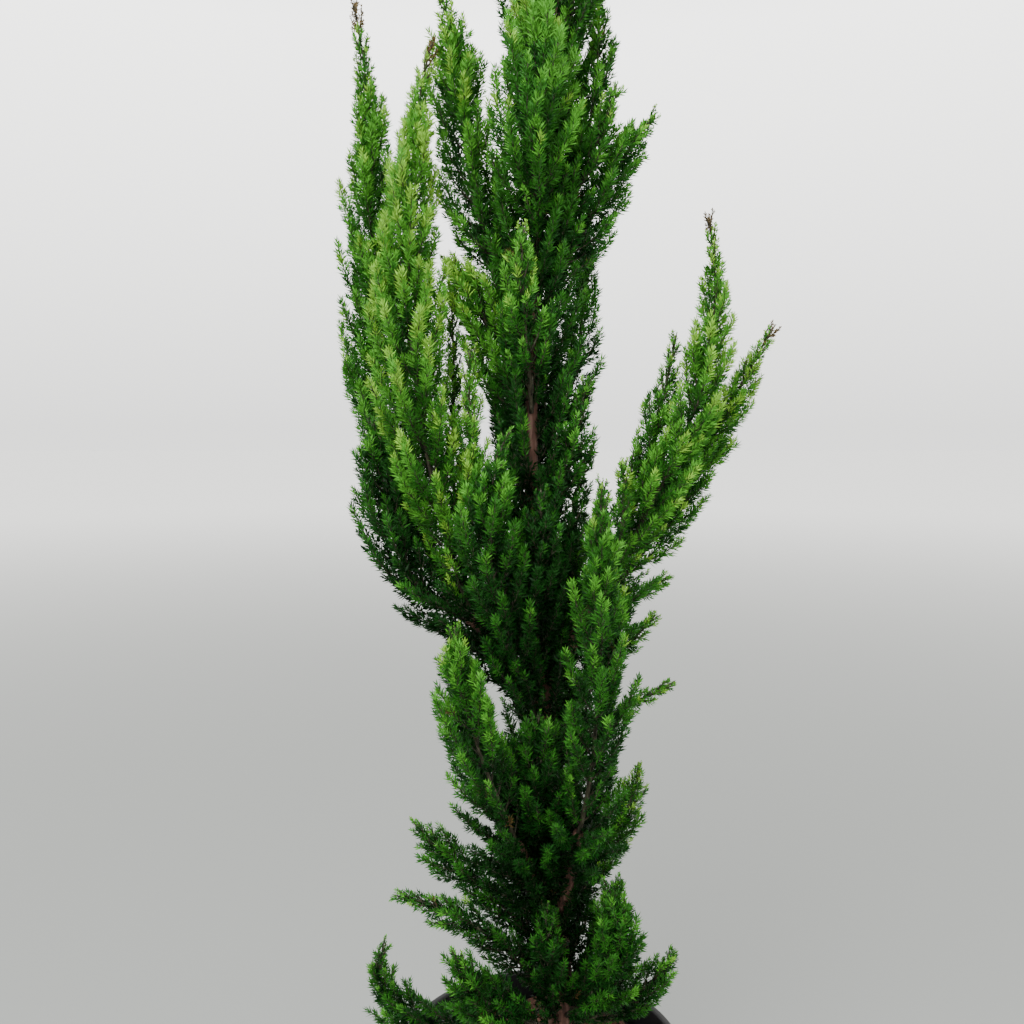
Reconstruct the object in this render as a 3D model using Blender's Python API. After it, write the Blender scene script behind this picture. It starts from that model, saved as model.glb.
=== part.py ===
"""A Lawson cypress about 1.4 m tall in a black nursery pot.

The trunk stands on the potting mix and runs up to its tip. Boughs leave it low down and end where
the foliage starts. Each mass of foliage is a plume: a stem that bends up to the light, thickened by
a slim dense core, with toothed sprays standing out of it all round. A plume keeps to its own space.

Metres, +Z up, the origin at the centre of the pot's underside. Headings are degrees from +X
towards +Y, and leans are degrees from the vertical.
"""

import math
import random
from collections import namedtuple

import bmesh
import bpy
import numpy as np
from mathutils import Matrix, Vector

GAP = 0.0003
SEED = 7
WELD = 0.00001
SLIVER = 0.00005
SLIVER_PASSES = 4
PLASTIC_SHARP = 40
BARK_SHARP = 60
# A direction that no limb takes, from which turns round a limb are measured.
ASKANCE = (0.31, 0.95, 0.02)

# The pot: a tapered thin wall with a rolled rim and drain slots low in the wall.
POT_RIM_RADIUS = 0.125
POT_FOOT_RADIUS = 0.094
POT_HEIGHT = 0.215
POT_WALL = 0.0020
POT_SIDES = 28
RIM_DEPTH = 0.014
RIM_WIDTH = 0.005
COLLAR_DEPTH = 0.030
COLLAR_STEP = 0.0025
DRAIN_SLOTS = 6
DRAIN_SIZE = (0.016, 0.020, 0.010)
SOIL_LEVEL = 0.190

# The trunk.
TRUNK_FOOT = SOIL_LEVEL + GAP
TRUNK_TOP = 1.22
TRUNK_FOOT_RADIUS = 0.0135
TRUNK_TIP_RADIUS = 0.0018
TRUNK_TAPER = 1.5
FLARE = 0.0055
FLARE_HEIGHT = 0.022
FLARE_RINGS = np.array((0, 0.5, 1.4, 3.0))
FLARE_LOBES = 4
FLARE_LOBE_SHARE = 0.25
TRUNK_SIDES = 12
TRUNK_STEP = 0.060
TRUNK_SWAY = 0.016
TRUNK_SWAY_HALF_WAVE = 0.60
TRUNK_SWAY_START = 0.17
TRUNK_LEAN = 0.010
TRUNK_SWAY_BACK = 0.006
TRUNK_BACK_HALF_WAVE = 0.45

# Boughs, and the stems and cores of the plumes.
BOUGH_SIDES = 8
BOUGH_STEP = 0.016
STEM_RADIUS = 0.0021
SEAT_RADIUS = 0.0040
LINE_STEP = 0.012
CORE_RIDGES = 4
CORE_STEP = 1.1
CORE_STEP_LEAST = 0.019
CORE_SHARE = 0.5
CORE_NOTCH = 1.1
CORE_TOOTH = 1.0
CORE_TOOTH_AHEAD = 1.25
CORE_TWIST = 12
CORE_TIP_RADIUS = 0.0010
CORE_LEAST_RADIUS = 0.0008
TOOTH_SHARES = np.linspace(1, 0, 6)[:, None]
TOOTH_MIDDLE = 0.6
BARE_STEM = 0.010
FULLEST = 0.35
TAPER_POWER = 0.8
LEAST_TAPER = 0.05
CELL_GAP = 0.0004
CELL_STEP = 0.003
SLOPE_STEP = 0.004

# Sprays: toothed blades that spiral round the core. An outline runs from the apex down one side to
# the root, as shares of the length along and across, and the ridge stands over its centre.
GOLDEN_ANGLE = 137.5
SPRAY_SPREAD = 30
SPRAY_SPREAD_TIP = 17
SPRAY_SPREAD_JITTER = 0.15
SPRAY_TWIST = 0.9
SPRAY_START = 0.012
SPRAY_AHEAD = 0.08
SPRAY_STOP = 0.010
SPRAY_SPACING = 5.2
SPRAY_SPACING_LEAST = 0.060
SPRAY_LONGEST = 0.062
SPRAY_SHORTEST = 0.016
SPRAY_SUNK = 0.6
SPRAY_CLEAR = 0.0015
SPRAY_CENTRE = 0.46
SPRAY_THICKNESS = 0.10
SPRAY_LARGE = 0.034
LARGE_OUTLINE = ((1.0, 0.0), (0.84, 0.14), (0.62, 0.10), (0.60, 0.25), (0.42, 0.12), (0.32, 0.20), (0.0, 0.0))
SMALL_OUTLINE = ((1.0, 0.0), (0.66, 0.24), (0.54, 0.12), (0.34, 0.22), (0.0, 0.0))
SPRAY_TRIES = (1.0, 0.8, 0.62)
SPRAY_CLOSER = 0.8

Limb = namedtuple("Limb", "name foot heading swing lean length radius tip_radius")
Plume = namedtuple("Plume", "name foot heading swing lean length fullness")

# A bough's foot is its height on the trunk.
BOUGHS = (
    Limb("bough_left", 0.530, 199, -12, (38, 32, 56), 0.089, 0.0085, 0.0068),
    Limb("bough_right", 0.535, 349, 14, (38, 18, 55), 0.083, 0.0075, 0.0066),
    Limb("bough_front_left", 0.332, 232, 8, (40, 22, 48), 0.098, 0.0056, 0.0045),
    Limb("bough_front_right", 0.345, 292, -16, (42, 22, 52), 0.102, 0.0058, 0.0045),
)

# A plume's foot is its height on the trunk, or the name of the bough whose tip it stands on.
PLUMES = (
    Plume("left_low", "bough_left", 184, -26, (72, 17, 11), 0.194, 0.020),
    Plume("left_tall", "bough_left", 149, 32, (46, 3, 12), 0.532, 0.0255),
    Plume("left_inner", "bough_left", 197, -6, (20, 4, -13), 0.464, 0.024),
    Plume("left_inner_side", "bough_left", 115, 92, (30, 0, 9), 0.280, 0.017),
    Plume("left_thin", 0.575, 229, -92, (43, 10, -2), 0.258, 0.009),
    Plume("left_front", 0.503, 249, -55, (36, 16, -25), 0.270, 0.0265),
    Plume("right_inner", "bough_right", 0, 1, (28, 16, 10), 0.235, 0.020),
    Plume("right_middle", "bough_right", 331, 59, (31, 20, -15), 0.337, 0.020),
    Plume("right_outer", "bough_right", 16, -18, (47, 30, 30), 0.283, 0.0205),
    Plume("right_tip", "bough_right", 303, -16, (42, 14, -5), 0.134, 0.0115),
    Plume("right_spur_upper", 0.568, 20, -26, (50, 64, 52), 0.124, 0.015),
    Plume("right_spur_middle", 0.512, 15, -20, (46, 49, 38), 0.123, 0.013),
    Plume("right_spur_lower", 0.465, 6, -9, (34, 56, 62), 0.125, 0.0105),
    Plume("right_low", 0.340, 356, 16, (34, 28, 10), 0.141, 0.018),
    Plume("front_right", "bough_front_right", 318, -80, (17, 3, -8), 0.287, 0.029),
    Plume("front_left", "bough_front_left", 232, -92, (27, 18, 3), 0.195, 0.030),
    Plume("front_middle", 0.545, 261, 33, (34, 15, -5), 0.173, 0.018),
    Plume("front_crook", 0.575, 323, 36, (34, 5, 31), 0.171, 0.012),
    Plume("front_low", 0.370, 256, -16, (38, 13, -3), 0.165, 0.023),
    Plume("front_low_tip", 0.398, 216, 70, (50, 22, 2), 0.118, 0.016),
    Plume("low_left_upper", 0.305, 192, -22, (36, 48, 42), 0.160, 0.0215),
    Plume("low_left_lower", 0.268, 207, -27, (36, 50, 80), 0.170, 0.0205),
    Plume("low_right_upper", 0.275, 328, 20, (40, 23, -2), 0.112, 0.0160),
    Plume("low_right_front", 0.250, 296, 30, (43, 29, -38), 0.167, 0.018),
    Plume("front_foot", 0.255, 254, -1, (36, 16, -6), 0.116, 0.018),
    Plume("skirt_left", 0.225, 181, -3, (84, 71, -32), 0.197, 0.0185),
    Plume("skirt_front_left", 0.240, 239, -61, (58, 51, 12), 0.144, 0.021),
    Plume("skirt_right", 0.235, 357, 4, (67, 55, 22), 0.110, 0.0175),
    Plume("column_right_low", 0.655, 314, 63, (34, 14, 13), 0.150, 0.0165),
    Plume("column_left_middle", 0.755, 171, 11, (34, 16, 50), 0.155, 0.021),
    Plume("column_front_low", 0.770, 268, -42, (36, 12, -4), 0.150, 0.017),
    Plume("column_left_top", 0.860, 158, 31, (50, 8, 19), 0.268, 0.028),
    Plume("column_right_arm", 0.855, 10, -13, (34, 28, 41), 0.182, 0.021),
    Plume("column_right_top", 0.900, 352, -2, (34, 24, 18), 0.141, 0.0195),
    Plume("column_front_top", 0.915, 269, -78, (72, -8, 14), 0.190, 0.022),
    Plume("leader", TRUNK_TOP, 20, 60, (6, 9, 3), 0.140, 0.015),
)

# The plumes that fill in what the named ones leave: behind the column, round its top, and low behind.
Fill = namedtuple("Fill", "name count feet headings lean lengths fullness")
FILLS = (
    Fill("column_back", 7, (0.600, 1.000), (6, 142), (48, 10, 2), (0.230, 0.180), (0.029, 0.022)),
    Fill("column_top", 4, (1.040, 1.150), (300, 660), (44, 6, 2), (0.170, 0.130), (0.025, 0.020)),
    Fill("back", 6, (0.235, 0.490), (28, 160), (64, 26, 4), (0.172, 0.256), (0.025, 0.029)),
)
GOLDEN_SHARE = 0.618


def between(ends, share):
    return ends[0] + (ends[1] - ends[0]) * share


def fill_plumes(fill):
    """Plumes at even heights, whose headings are spread by the golden share of their range."""
    for number in range(fill.count):
        up = number / (fill.count - 1)
        yield Plume(
            f"{fill.name}_{number + 1}",
            between(fill.feet, up),
            between(fill.headings, number * GOLDEN_SHARE % 1) % 360,
            0,
            fill.lean,
            between(fill.lengths, up),
            between(fill.fullness, up),
        )


# Centre lines, as arrays of points.


def trunk_point(height):
    sway = TRUNK_SWAY * math.cos(math.pi * (height - TRUNK_SWAY_START) / TRUNK_SWAY_HALF_WAVE)
    back = TRUNK_SWAY_BACK * math.sin(math.pi * (height - SOIL_LEVEL) / TRUNK_BACK_HALF_WAVE)
    return np.array([sway + TRUNK_LEAN * (height - TRUNK_SWAY_START), back, height])


def trunk_radius(height):
    up = min(max((height - SOIL_LEVEL) / (TRUNK_TOP - SOIL_LEVEL), 0), 1)
    return TRUNK_TIP_RADIUS + (TRUNK_FOOT_RADIUS - TRUNK_TIP_RADIUS) * (1 - up) ** TRUNK_TAPER


def flare(height):
    return FLARE * math.exp(-(height - TRUNK_FOOT) / FLARE_HEIGHT)


def trunk_reach(height):
    """The trunk's radius at the widest of its flare's lobes."""
    return trunk_radius(height) + flare(height) * (1 + FLARE_LOBE_SHARE)


def way(heading, lean):
    """The unit vector of a heading and a lean, both in degrees."""
    heading, lean = math.radians(heading), math.radians(lean)
    flat = math.sin(lean)
    return np.array([flat * math.cos(heading), flat * math.sin(heading), math.cos(lean)])


def sweep(foot, limb, steps):
    """A limb's centre line. Its lean runs smoothly through the foot, middle and tip values."""
    foot_lean, middle_lean, tip_lean = limb.lean
    points = [np.array(foot)]
    for step in range(steps):
        t = (step + 0.5) / steps
        lean = foot_lean * (1 - t) * (1 - 2 * t) + middle_lean * 4 * t * (1 - t) + tip_lean * t * (2 * t - 1)
        points.append(points[-1] + way(limb.heading + limb.swing * t, lean) * limb.length / steps)
    return np.array(points)


def unit(vector):
    return vector / np.linalg.norm(vector)


def tangents(points):
    steps = np.gradient(points, axis=0)
    return steps / np.linalg.norm(steps, axis=1)[:, None]


def trunk_seat(height, heading):
    """A limb's foot on the trunk, and the way that the leaning, tapering trunk faces there."""
    out = way(heading, 90)
    near = (height - SLOPE_STEP, min(height + SLOPE_STEP, TRUNK_TOP))
    axis = unit(trunk_point(near[1]) - trunk_point(near[0]))
    taper = (trunk_reach(near[0]) - trunk_reach(near[1])) / (near[1] - near[0])
    facing = unit(out - axis * (out @ axis) + axis * taper)
    return trunk_point(height) + out * (trunk_reach(height) + GAP), facing


def tip_seats(bough_points, plumes):
    """The feet of the plumes on a bough's tip, evenly round it, each on the side it grows towards."""
    axis = unit(bough_points[-1] - bough_points[-2])
    tip = bough_points[-1] + axis * GAP
    if len(plumes) == 1:
        return {plumes[0].name: (tip, axis)}
    side = unit(np.cross(axis, (0, 0, 1)))
    up = np.cross(side, axis)
    bearing = {}
    for plume in plumes:
        start = way(plume.heading, plume.lean[0])
        bearing[plume.name] = math.atan2(start @ up, start @ side)
    order = sorted(bearing, key=bearing.get)
    share = 2 * math.pi / len(order)
    turns = [bearing[name] - share * place for place, name in enumerate(order)]
    first = math.atan2(sum(map(math.sin, turns)), sum(map(math.cos, turns)))
    seats = {}
    for place, name in enumerate(order):
        angle = first + share * place
        seats[name] = (tip + (side * math.cos(angle) + up * math.sin(angle)) * SEAT_RADIUS, axis)
    return seats


# Where things are: signed distances to envelopes that are round along a centre line.


def filled(points, radii, step):
    """Points and radii at most a step apart along a centre line."""
    more_points, more_radii = [points[:1]], [radii[:1]]
    for first in range(len(points) - 1):
        count = max(1, math.ceil(np.linalg.norm(points[first + 1] - points[first]) / step))
        share = np.arange(1, count + 1)[:, None] / count
        more_points.append(points[first] + (points[first + 1] - points[first]) * share)
        more_radii.append(radii[first] + (radii[first + 1] - radii[first]) * share[:, 0])
    return np.concatenate(more_points), np.concatenate(more_radii)


def depth_outside(places, line, radii):
    """How far each place lies outside the envelope of a centre line."""
    away = np.linalg.norm(places[:, None, :] - line[None], axis=2) - radii[None]
    return away.min(axis=1)


def fullness(plume, t):
    """A plume's envelope: narrow at its foot, fullest at a third, drawn out to its tip."""
    if t < FULLEST:
        share = math.sin(t / FULLEST * math.pi / 2)
    else:
        share = max(LEAST_TAPER, math.cos((t - FULLEST) / (1 - FULLEST) * math.pi / 2)) ** TAPER_POWER
    return STEM_RADIUS + (plume.fullness - STEM_RADIUS) * share


class Space:
    """Who owns each place: the plume whose envelope is nearest. Limbs own the places they fill."""

    def __init__(self, plume_lines, limb_lines):
        self.plumes = plume_lines
        self.limbs = limb_lines

    def room(self, name, places):
        """The radius of the largest ball at each place that keeps to a plume's own space."""
        places = np.atleast_2d(places)
        own = depth_outside(places, *self.plumes[name])
        others = np.full(len(places), np.inf)
        for other, line in self.plumes.items():
            if other != name:
                others = np.minimum(others, depth_outside(places, *line))
        limbs = np.full(len(places), np.inf)
        for line in self.limbs.values():
            limbs = np.minimum(limbs, depth_outside(places, *line))
        return np.minimum((others - own) / 2, limbs) - CELL_GAP


# Meshes.


def new_object(name, bm, material):
    mesh = bpy.data.meshes.new(name)
    bm.to_mesh(mesh)
    bm.free()
    mesh.materials.append(material)
    obj = bpy.data.objects.new(name, mesh)
    bpy.context.scene.collection.objects.link(obj)
    return obj


def new_material(name, colour, roughness):
    material = bpy.data.materials.new(name)
    material.use_nodes = True
    shader = material.node_tree.nodes["Principled BSDF"]
    shader.inputs["Base Color"].default_value = (*colour, 1)
    shader.inputs["Roughness"].default_value = roughness
    shader.inputs["Metallic"].default_value = 0
    material.diffuse_color = (*colour, 1)
    return material


def shade_round(obj, sharp_angle):
    obj.data.shade_smooth()
    obj.data.set_sharp_from_angle(angle=math.radians(sharp_angle))


def ring_edges(ring):
    members = set(ring)
    return [edge for edge in {e for vert in ring for e in vert.link_edges} if members >= set(edge.verts)]


def tube(points, radii, sides, foot_plane=None, swell=None, twist=0):
    """A closed bmesh of rings along a centre line. The foot can be cut by a plane (point, normal)."""
    bm = bmesh.new()
    along = tangents(points)
    normal = Vector(unit(np.cross(along[0], ASKANCE)))
    rings = []
    for number, (point, ahead, radius) in enumerate(zip(points, along, radii)):
        ahead = Vector(ahead)
        normal = (normal - ahead * normal.dot(ahead)).normalized()
        normal.rotate(Matrix.Rotation(math.radians(twist), 3, ahead))
        turn = Matrix((normal, ahead.cross(normal), ahead)).transposed().to_4x4()
        place = Matrix.Translation(Vector(point)) @ turn
        rings.append(bmesh.ops.create_circle(bm, segments=sides, radius=radius, matrix=place)["verts"])
    for lower, upper in zip(rings, rings[1:]):
        bmesh.ops.bridge_loops(bm, edges=ring_edges(lower) + ring_edges(upper))
    bm.faces.new(rings[0])
    bm.faces.new(rings[-1])
    if swell:
        for number, ring in enumerate(rings):
            swell(number, points[number], ring)
    if foot_plane:
        ahead, on_plane, facing = Vector(along[0]), Vector(foot_plane[0]), Vector(foot_plane[1])
        for vert in rings[0]:
            vert.co += ahead * ((on_plane - vert.co).dot(facing) / ahead.dot(facing))
    bmesh.ops.recalc_face_normals(bm, faces=bm.faces)
    return bm


def mend_slivers(bm):
    """Collapses the shortest edges, then turns the longest edge of each triangle that is still too thin."""
    bmesh.ops.triangulate(bm, faces=bm.faces)
    bmesh.ops.dissolve_degenerate(bm, dist=SLIVER, edges=bm.edges)
    bmesh.ops.triangulate(bm, faces=bm.faces)
    for _ in range(SLIVER_PASSES):
        for face in list(bm.faces):
            if not face.is_valid:
                continue
            longest = max(face.edges, key=lambda edge: edge.calc_length())
            if 2 * face.calc_area() < SLIVER * longest.calc_length() and len(longest.link_faces) == 2:
                bmesh.utils.edge_rotate(longest, True)


def largest_body(obj):
    """Mends slivers, then drops loose scraps and the walls of sealed hollows."""
    bm = bmesh.new()
    bm.from_mesh(obj.data)
    mend_slivers(bm)
    left = set(bm.faces)
    islands = []
    while left:
        front = {left.pop()}
        island = set(front)
        while front:
            joints = {edge for face in front for edge in face.edges if len(edge.link_faces) == 2}
            front = {face for edge in joints for face in edge.link_faces} & left
            left -= front
            island |= front
        islands.append(island)
    islands.sort(key=len)
    for island in islands[:-1]:
        bmesh.ops.delete(bm, geom=list(island), context="FACES")
    bm.to_mesh(obj.data)
    bm.free()


def join(obj, pieces):
    """One union of an object with a collection of pieces, applied. The pieces are then removed."""
    group = bpy.data.collections.new(obj.name + "_pieces")
    bpy.context.scene.collection.children.link(group)
    for piece in pieces:
        bpy.context.scene.collection.objects.unlink(piece)
        group.objects.link(piece)
    union = obj.modifiers.new("union", "BOOLEAN")
    union.operation = "UNION"
    union.operand_type = "COLLECTION"
    union.collection = group
    union.solver = "EXACT"
    graph = bpy.context.evaluated_depsgraph_get()
    joined = bpy.data.meshes.new_from_object(obj.evaluated_get(graph))
    obj.modifiers.clear()
    obj.data = joined
    for piece in pieces:
        bpy.data.objects.remove(piece)
    bpy.data.collections.remove(group)
    largest_body(obj)


# Sub-parts.


def make_pot(material):
    """The pot is turned from one profile: floor, wall, collar, rolled rim and the inside."""
    collar = POT_HEIGHT - COLLAR_DEPTH
    under_rim = POT_RIM_RADIUS - RIM_WIDTH
    rim_foot = POT_HEIGHT - RIM_DEPTH
    profile = [
        (0, 0),
        (POT_FOOT_RADIUS - POT_WALL, 0),
        (POT_FOOT_RADIUS, POT_WALL),
        (under_rim - COLLAR_STEP, collar - COLLAR_STEP),
        (under_rim, collar),
        (under_rim, rim_foot),
        (POT_RIM_RADIUS, rim_foot),
        (POT_RIM_RADIUS, POT_HEIGHT - RIM_WIDTH / 2),
        (POT_RIM_RADIUS - RIM_WIDTH / 2, POT_HEIGHT),
        (under_rim, POT_HEIGHT),
        (under_rim - POT_WALL, POT_HEIGHT - POT_WALL),
        (under_rim - POT_WALL, collar),
        (under_rim - POT_WALL - COLLAR_STEP, collar - COLLAR_STEP),
        (POT_FOOT_RADIUS - POT_WALL, POT_WALL * 2),
        (0, POT_WALL * 2),
    ]
    bm = bmesh.new()
    verts = [bm.verts.new((radius, 0, height)) for radius, height in profile]
    edges = [bm.edges.new(pair) for pair in zip(verts, verts[1:])]
    bmesh.ops.spin(
        bm, geom=edges, cent=(0, 0, 0), axis=(0, 0, 1), angle=math.tau, steps=POT_SIDES, use_merge=True
    )
    bmesh.ops.remove_doubles(bm, verts=bm.verts, dist=WELD)
    bmesh.ops.recalc_face_normals(bm, faces=bm.faces)
    pot = new_object("pot", bm, material)
    cut_drain_slots(pot)
    shade_round(pot, PLASTIC_SHARP)


def cut_drain_slots(pot):
    slots = bmesh.new()
    for number in range(DRAIN_SLOTS):
        turn = Matrix.Rotation(math.tau * (number + 0.5) / DRAIN_SLOTS, 4, "Z")
        place = turn @ Matrix.Translation((POT_FOOT_RADIUS, 0, POT_WALL * 2 + DRAIN_SIZE[2]))
        bmesh.ops.create_cube(slots, size=1, matrix=place @ Matrix.Diagonal((*DRAIN_SIZE, 1)))
    cutter = new_object("drain_slots", slots, pot.data.materials[0])
    cut = pot.modifiers.new("slots", "BOOLEAN")
    cut.operation = "DIFFERENCE"
    cut.object = cutter
    cut.solver = "EXACT"
    graph = bpy.context.evaluated_depsgraph_get()
    pot.data = bpy.data.meshes.new_from_object(pot.evaluated_get(graph))
    pot.modifiers.clear()
    bpy.data.objects.remove(cutter)


def make_potting_mix(material):
    """A plug that follows the pot's inside, a gap clear of it."""
    collar = POT_HEIGHT - COLLAR_DEPTH - COLLAR_STEP
    inner_low = POT_FOOT_RADIUS - POT_WALL
    inner_high = POT_RIM_RADIUS - RIM_WIDTH - POT_WALL - COLLAR_STEP
    bottom = POT_WALL * 2 + GAP
    clear = GAP * 2
    bm = bmesh.new()
    profile = [
        (0, bottom),
        (inner_low - clear, bottom),
        (inner_high - clear, collar),
        (inner_high - clear, SOIL_LEVEL),
        (0, SOIL_LEVEL),
    ]
    verts = [bm.verts.new((radius, 0, height)) for radius, height in profile]
    edges = [bm.edges.new(pair) for pair in zip(verts, verts[1:])]
    bmesh.ops.spin(
        bm, geom=edges, cent=(0, 0, 0), axis=(0, 0, 1), angle=math.tau, steps=POT_SIDES, use_merge=True
    )
    bmesh.ops.remove_doubles(bm, verts=bm.verts, dist=WELD)
    bmesh.ops.recalc_face_normals(bm, faces=bm.faces)
    shade_round(new_object("potting_mix", bm, material), PLASTIC_SHARP)


def make_trunk(material):
    flared = TRUNK_FOOT + FLARE_HEIGHT * FLARE_RINGS
    count = round((TRUNK_TOP - flared[-1]) / TRUNK_STEP)
    heights = [*flared, *np.linspace(flared[-1], TRUNK_TOP, count + 1)[1:]]
    points = np.array([trunk_point(height) for height in heights])

    def swell(number, centre, ring):
        """Root flare in a few lobes, and level rings."""
        for vert in ring:
            out = vert.co - Vector(centre)
            lobe = 1 + FLARE_LOBE_SHARE * math.cos(FLARE_LOBES * math.atan2(out.y, out.x))
            vert.co += out.normalized() * flare(heights[number]) * lobe
            vert.co.z = heights[number]

    bm = tube(points, [trunk_radius(height) for height in heights], TRUNK_SIDES, swell=swell)
    shade_round(new_object("trunk", bm, material), BARK_SHARP)


def make_bough(bough, points, facing, material):
    radii = np.linspace(bough.radius, bough.tip_radius, len(points))
    bm = tube(points, radii, BOUGH_SIDES, foot_plane=(points[0], facing))
    shade_round(new_object(bough.name, bm, material), BARK_SHARP)


def spray_outline(length):
    return LARGE_OUTLINE if length > SPRAY_LARGE else SMALL_OUTLINE


def spray_places(root, ahead, side, length):
    """The places that a spray needs: its outline on both sides, and the middle of each edge of that."""
    half = np.array(spray_outline(length)) * length
    whole = np.concatenate([half, half[-2::-1] * (1, -1)])
    whole = np.concatenate([whole, (whole[1:] + whole[:-1]) / 2])
    return root + whole[:, :1] * ahead + whole[:, 1:] * side


def make_spray(name, root, ahead, side, length, material):
    """A blade with a ridge on each face: a flat sphere of two rings, its rim moved to the outline."""
    outline = spray_outline(length)
    steps = len(outline) - 1
    over = np.cross(ahead, side)
    bm = bmesh.new()
    bmesh.ops.create_uvsphere(bm, u_segments=2 * steps, v_segments=2, radius=1)
    for vert in bm.verts:
        pole = round(vert.co.z)
        if pole:
            along, across, height = SPRAY_CENTRE, 0, pole * SPRAY_THICKNESS / 2
        else:
            step = round(math.atan2(vert.co.y, vert.co.x) / math.pi * steps)
            along, across = outline[abs(step)]
            across = math.copysign(across, step)
            height = 0
        vert.co = Vector(root + (ahead * along + side * across + over * height) * length)
    bmesh.ops.recalc_face_normals(bm, faces=bm.faces)
    return new_object(name, bm, material)


def grow_sprays(plume, line, along, travelled, core_radii, material, space, rng):
    """Sprays by the golden angle. One that has no room is tried smaller and closer, then skipped."""
    sprays = []
    at, bearing = SPRAY_START, rng.uniform(0, 360)
    while at < plume.length - SPRAY_STOP:
        t = at / plume.length
        place = np.argmin(abs(travelled - at))
        axis = along[place]
        across = unit(np.cross(axis, ASKANCE))
        turn = math.radians(bearing)
        out = across * math.cos(turn) + np.cross(axis, across) * math.sin(turn)
        jitter = rng.uniform(1 - SPRAY_SPREAD_JITTER, 1 + SPRAY_SPREAD_JITTER)
        spread = between((SPRAY_SPREAD, SPRAY_SPREAD_TIP), t) * jitter
        twist = rng.uniform(-SPRAY_TWIST, SPRAY_TWIST)
        for reach in SPRAY_TRIES:
            lean = math.radians(spread * (1 if reach == 1 else SPRAY_CLOSER))
            sunk = core_radii[place] * (1 - SPRAY_SUNK) / math.sin(lean)
            wanted = min(fullness(plume, min(1, t + SPRAY_AHEAD)) / math.sin(lean), SPRAY_LONGEST)
            length = max(wanted * reach - sunk, SPRAY_SHORTEST)
            ahead = axis * math.cos(lean) + out * math.sin(lean)
            flat = unit(np.cross(ahead, out))
            side = flat * math.cos(twist) + np.cross(ahead, flat) * math.sin(twist)
            root = line[place] + ahead * sunk
            if (space.room(plume.name, spray_places(root, ahead, side, length)) > SPRAY_CLEAR).all():
                sprays.append(make_spray(f"{plume.name}_spray", root, ahead, side, length, material))
                break
        at += max(SPRAY_SPACING_LEAST, fullness(plume, t) * SPRAY_SPACING)
        bearing += GOLDEN_ANGLE
    return sprays


def core_stations(plume):
    """The distances along a plume at which its core has a ring, as far apart as the plume is full."""
    stations = [0, BARE_STEM]
    while stations[-1] < plume.length - CORE_STEP_LEAST:
        wide = fullness(plume, stations[-1] / plume.length)
        stations.append(stations[-1] + max(CORE_STEP_LEAST, wide * CORE_STEP))
    return np.array(stations[:-1] + [plume.length])


def make_plume(plume, points, facing, material, space):
    """The stem and its toothed core, then the sprays fused on."""
    line, _ = filled(points, np.zeros(len(points)), CELL_STEP)
    along = tangents(line)
    travelled = np.arange(len(line)) * plume.length / (len(line) - 1)
    stations = core_stations(plume)
    places = [int(np.argmin(abs(travelled - station))) for station in stations]
    centres = line[places]
    last = len(stations) - 1
    wide = np.array([fullness(plume, station / plume.length) for station in stations])
    radii = np.maximum(wide * CORE_SHARE, STEM_RADIUS)
    for number in range(1, last + 1):
        near = line[max(places[number - 1] + 1, places[1]) : places[min(number + 1, last)] + 1]
        radii[number] = min(radii[number], space.room(plume.name, near).min())
    radii[0] = STEM_RADIUS
    radii[last] = CORE_TIP_RADIUS
    if radii[1:].min() < CORE_LEAST_RADIUS:
        raise ValueError(f"{plume.name} has no room for its stem: {radii[1:].min():.4f}")

    def teeth(number, centre, ring):
        """Every other corner is a ridge. Along it, notches take turns with teeth that point up and out."""
        if not 1 < number < last:
            return
        ahead = along[places[number]] * (stations[number + 1] - stations[number]) * CORE_TOOTH_AHEAD
        for corner, vert in enumerate(ring):
            if corner % 2:
                continue
            out = unit(np.array(vert.co) - centre)
            notch = centre + out * radii[number] * CORE_NOTCH
            tooth = centre + out * wide[number] * CORE_TOOTH + ahead
            choices = between((notch, tooth), TOOTH_SHARES * ((number + corner // 2) % 2))
            behind = centres[number - 1] + out * radii[number - 1]
            needed = [choices, *(between((base, choices), TOOTH_MIDDLE) for base in (centre, behind))]
            roomy = np.all([space.room(plume.name, places) > SPRAY_CLEAR for places in needed], axis=0)
            if roomy.any():
                vert.co = Vector(choices[int(np.argmax(roomy))])

    shape = tube(centres, radii, CORE_RIDGES * 2, (points[0], facing), teeth, CORE_TWIST)
    core = new_object("foliage_" + plume.name, shape, material)
    rng = random.Random(f"{SEED} {plume.name}")
    core_radii = np.interp(travelled, stations, radii)
    join(core, grow_sprays(plume, line, along, travelled, core_radii, material, space, rng))


def lay_out(plumes):
    """The centre line of every limb and plume, and the plane that cuts its foot."""
    lines, facings = {}, {}
    for bough in BOUGHS:
        seat, facing = trunk_seat(bough.foot, bough.heading)
        lines[bough.name] = sweep(seat, bough, max(3, round(bough.length / BOUGH_STEP)))
        facings[bough.name] = facing
    for bough in BOUGHS:
        on_tip = [plume for plume in plumes if plume.foot == bough.name]
        for name, (seat, facing) in tip_seats(lines[bough.name], on_tip).items():
            lines[name], facings[name] = seat, facing
    for plume in plumes:
        if plume.foot == TRUNK_TOP:
            seat, facing = trunk_point(TRUNK_TOP) + (0, 0, GAP), np.array((0, 0, 1))
        elif plume.name in lines:
            seat, facing = lines[plume.name], facings[plume.name]
        else:
            seat, facing = trunk_seat(plume.foot, plume.heading)
        lines[plume.name] = sweep(seat, plume, round(plume.length / LINE_STEP))
        facings[plume.name] = facing
    return lines, facings


def envelope(plume, points):
    """A plume's filled centre line and the radius of its envelope along it."""
    travelled = np.concatenate([[0], np.cumsum(np.linalg.norm(np.diff(points, axis=0), axis=1))])
    radii = np.array([fullness(plume, min(1, way_along / plume.length)) for way_along in travelled])
    return filled(points, radii, CELL_STEP)


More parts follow.
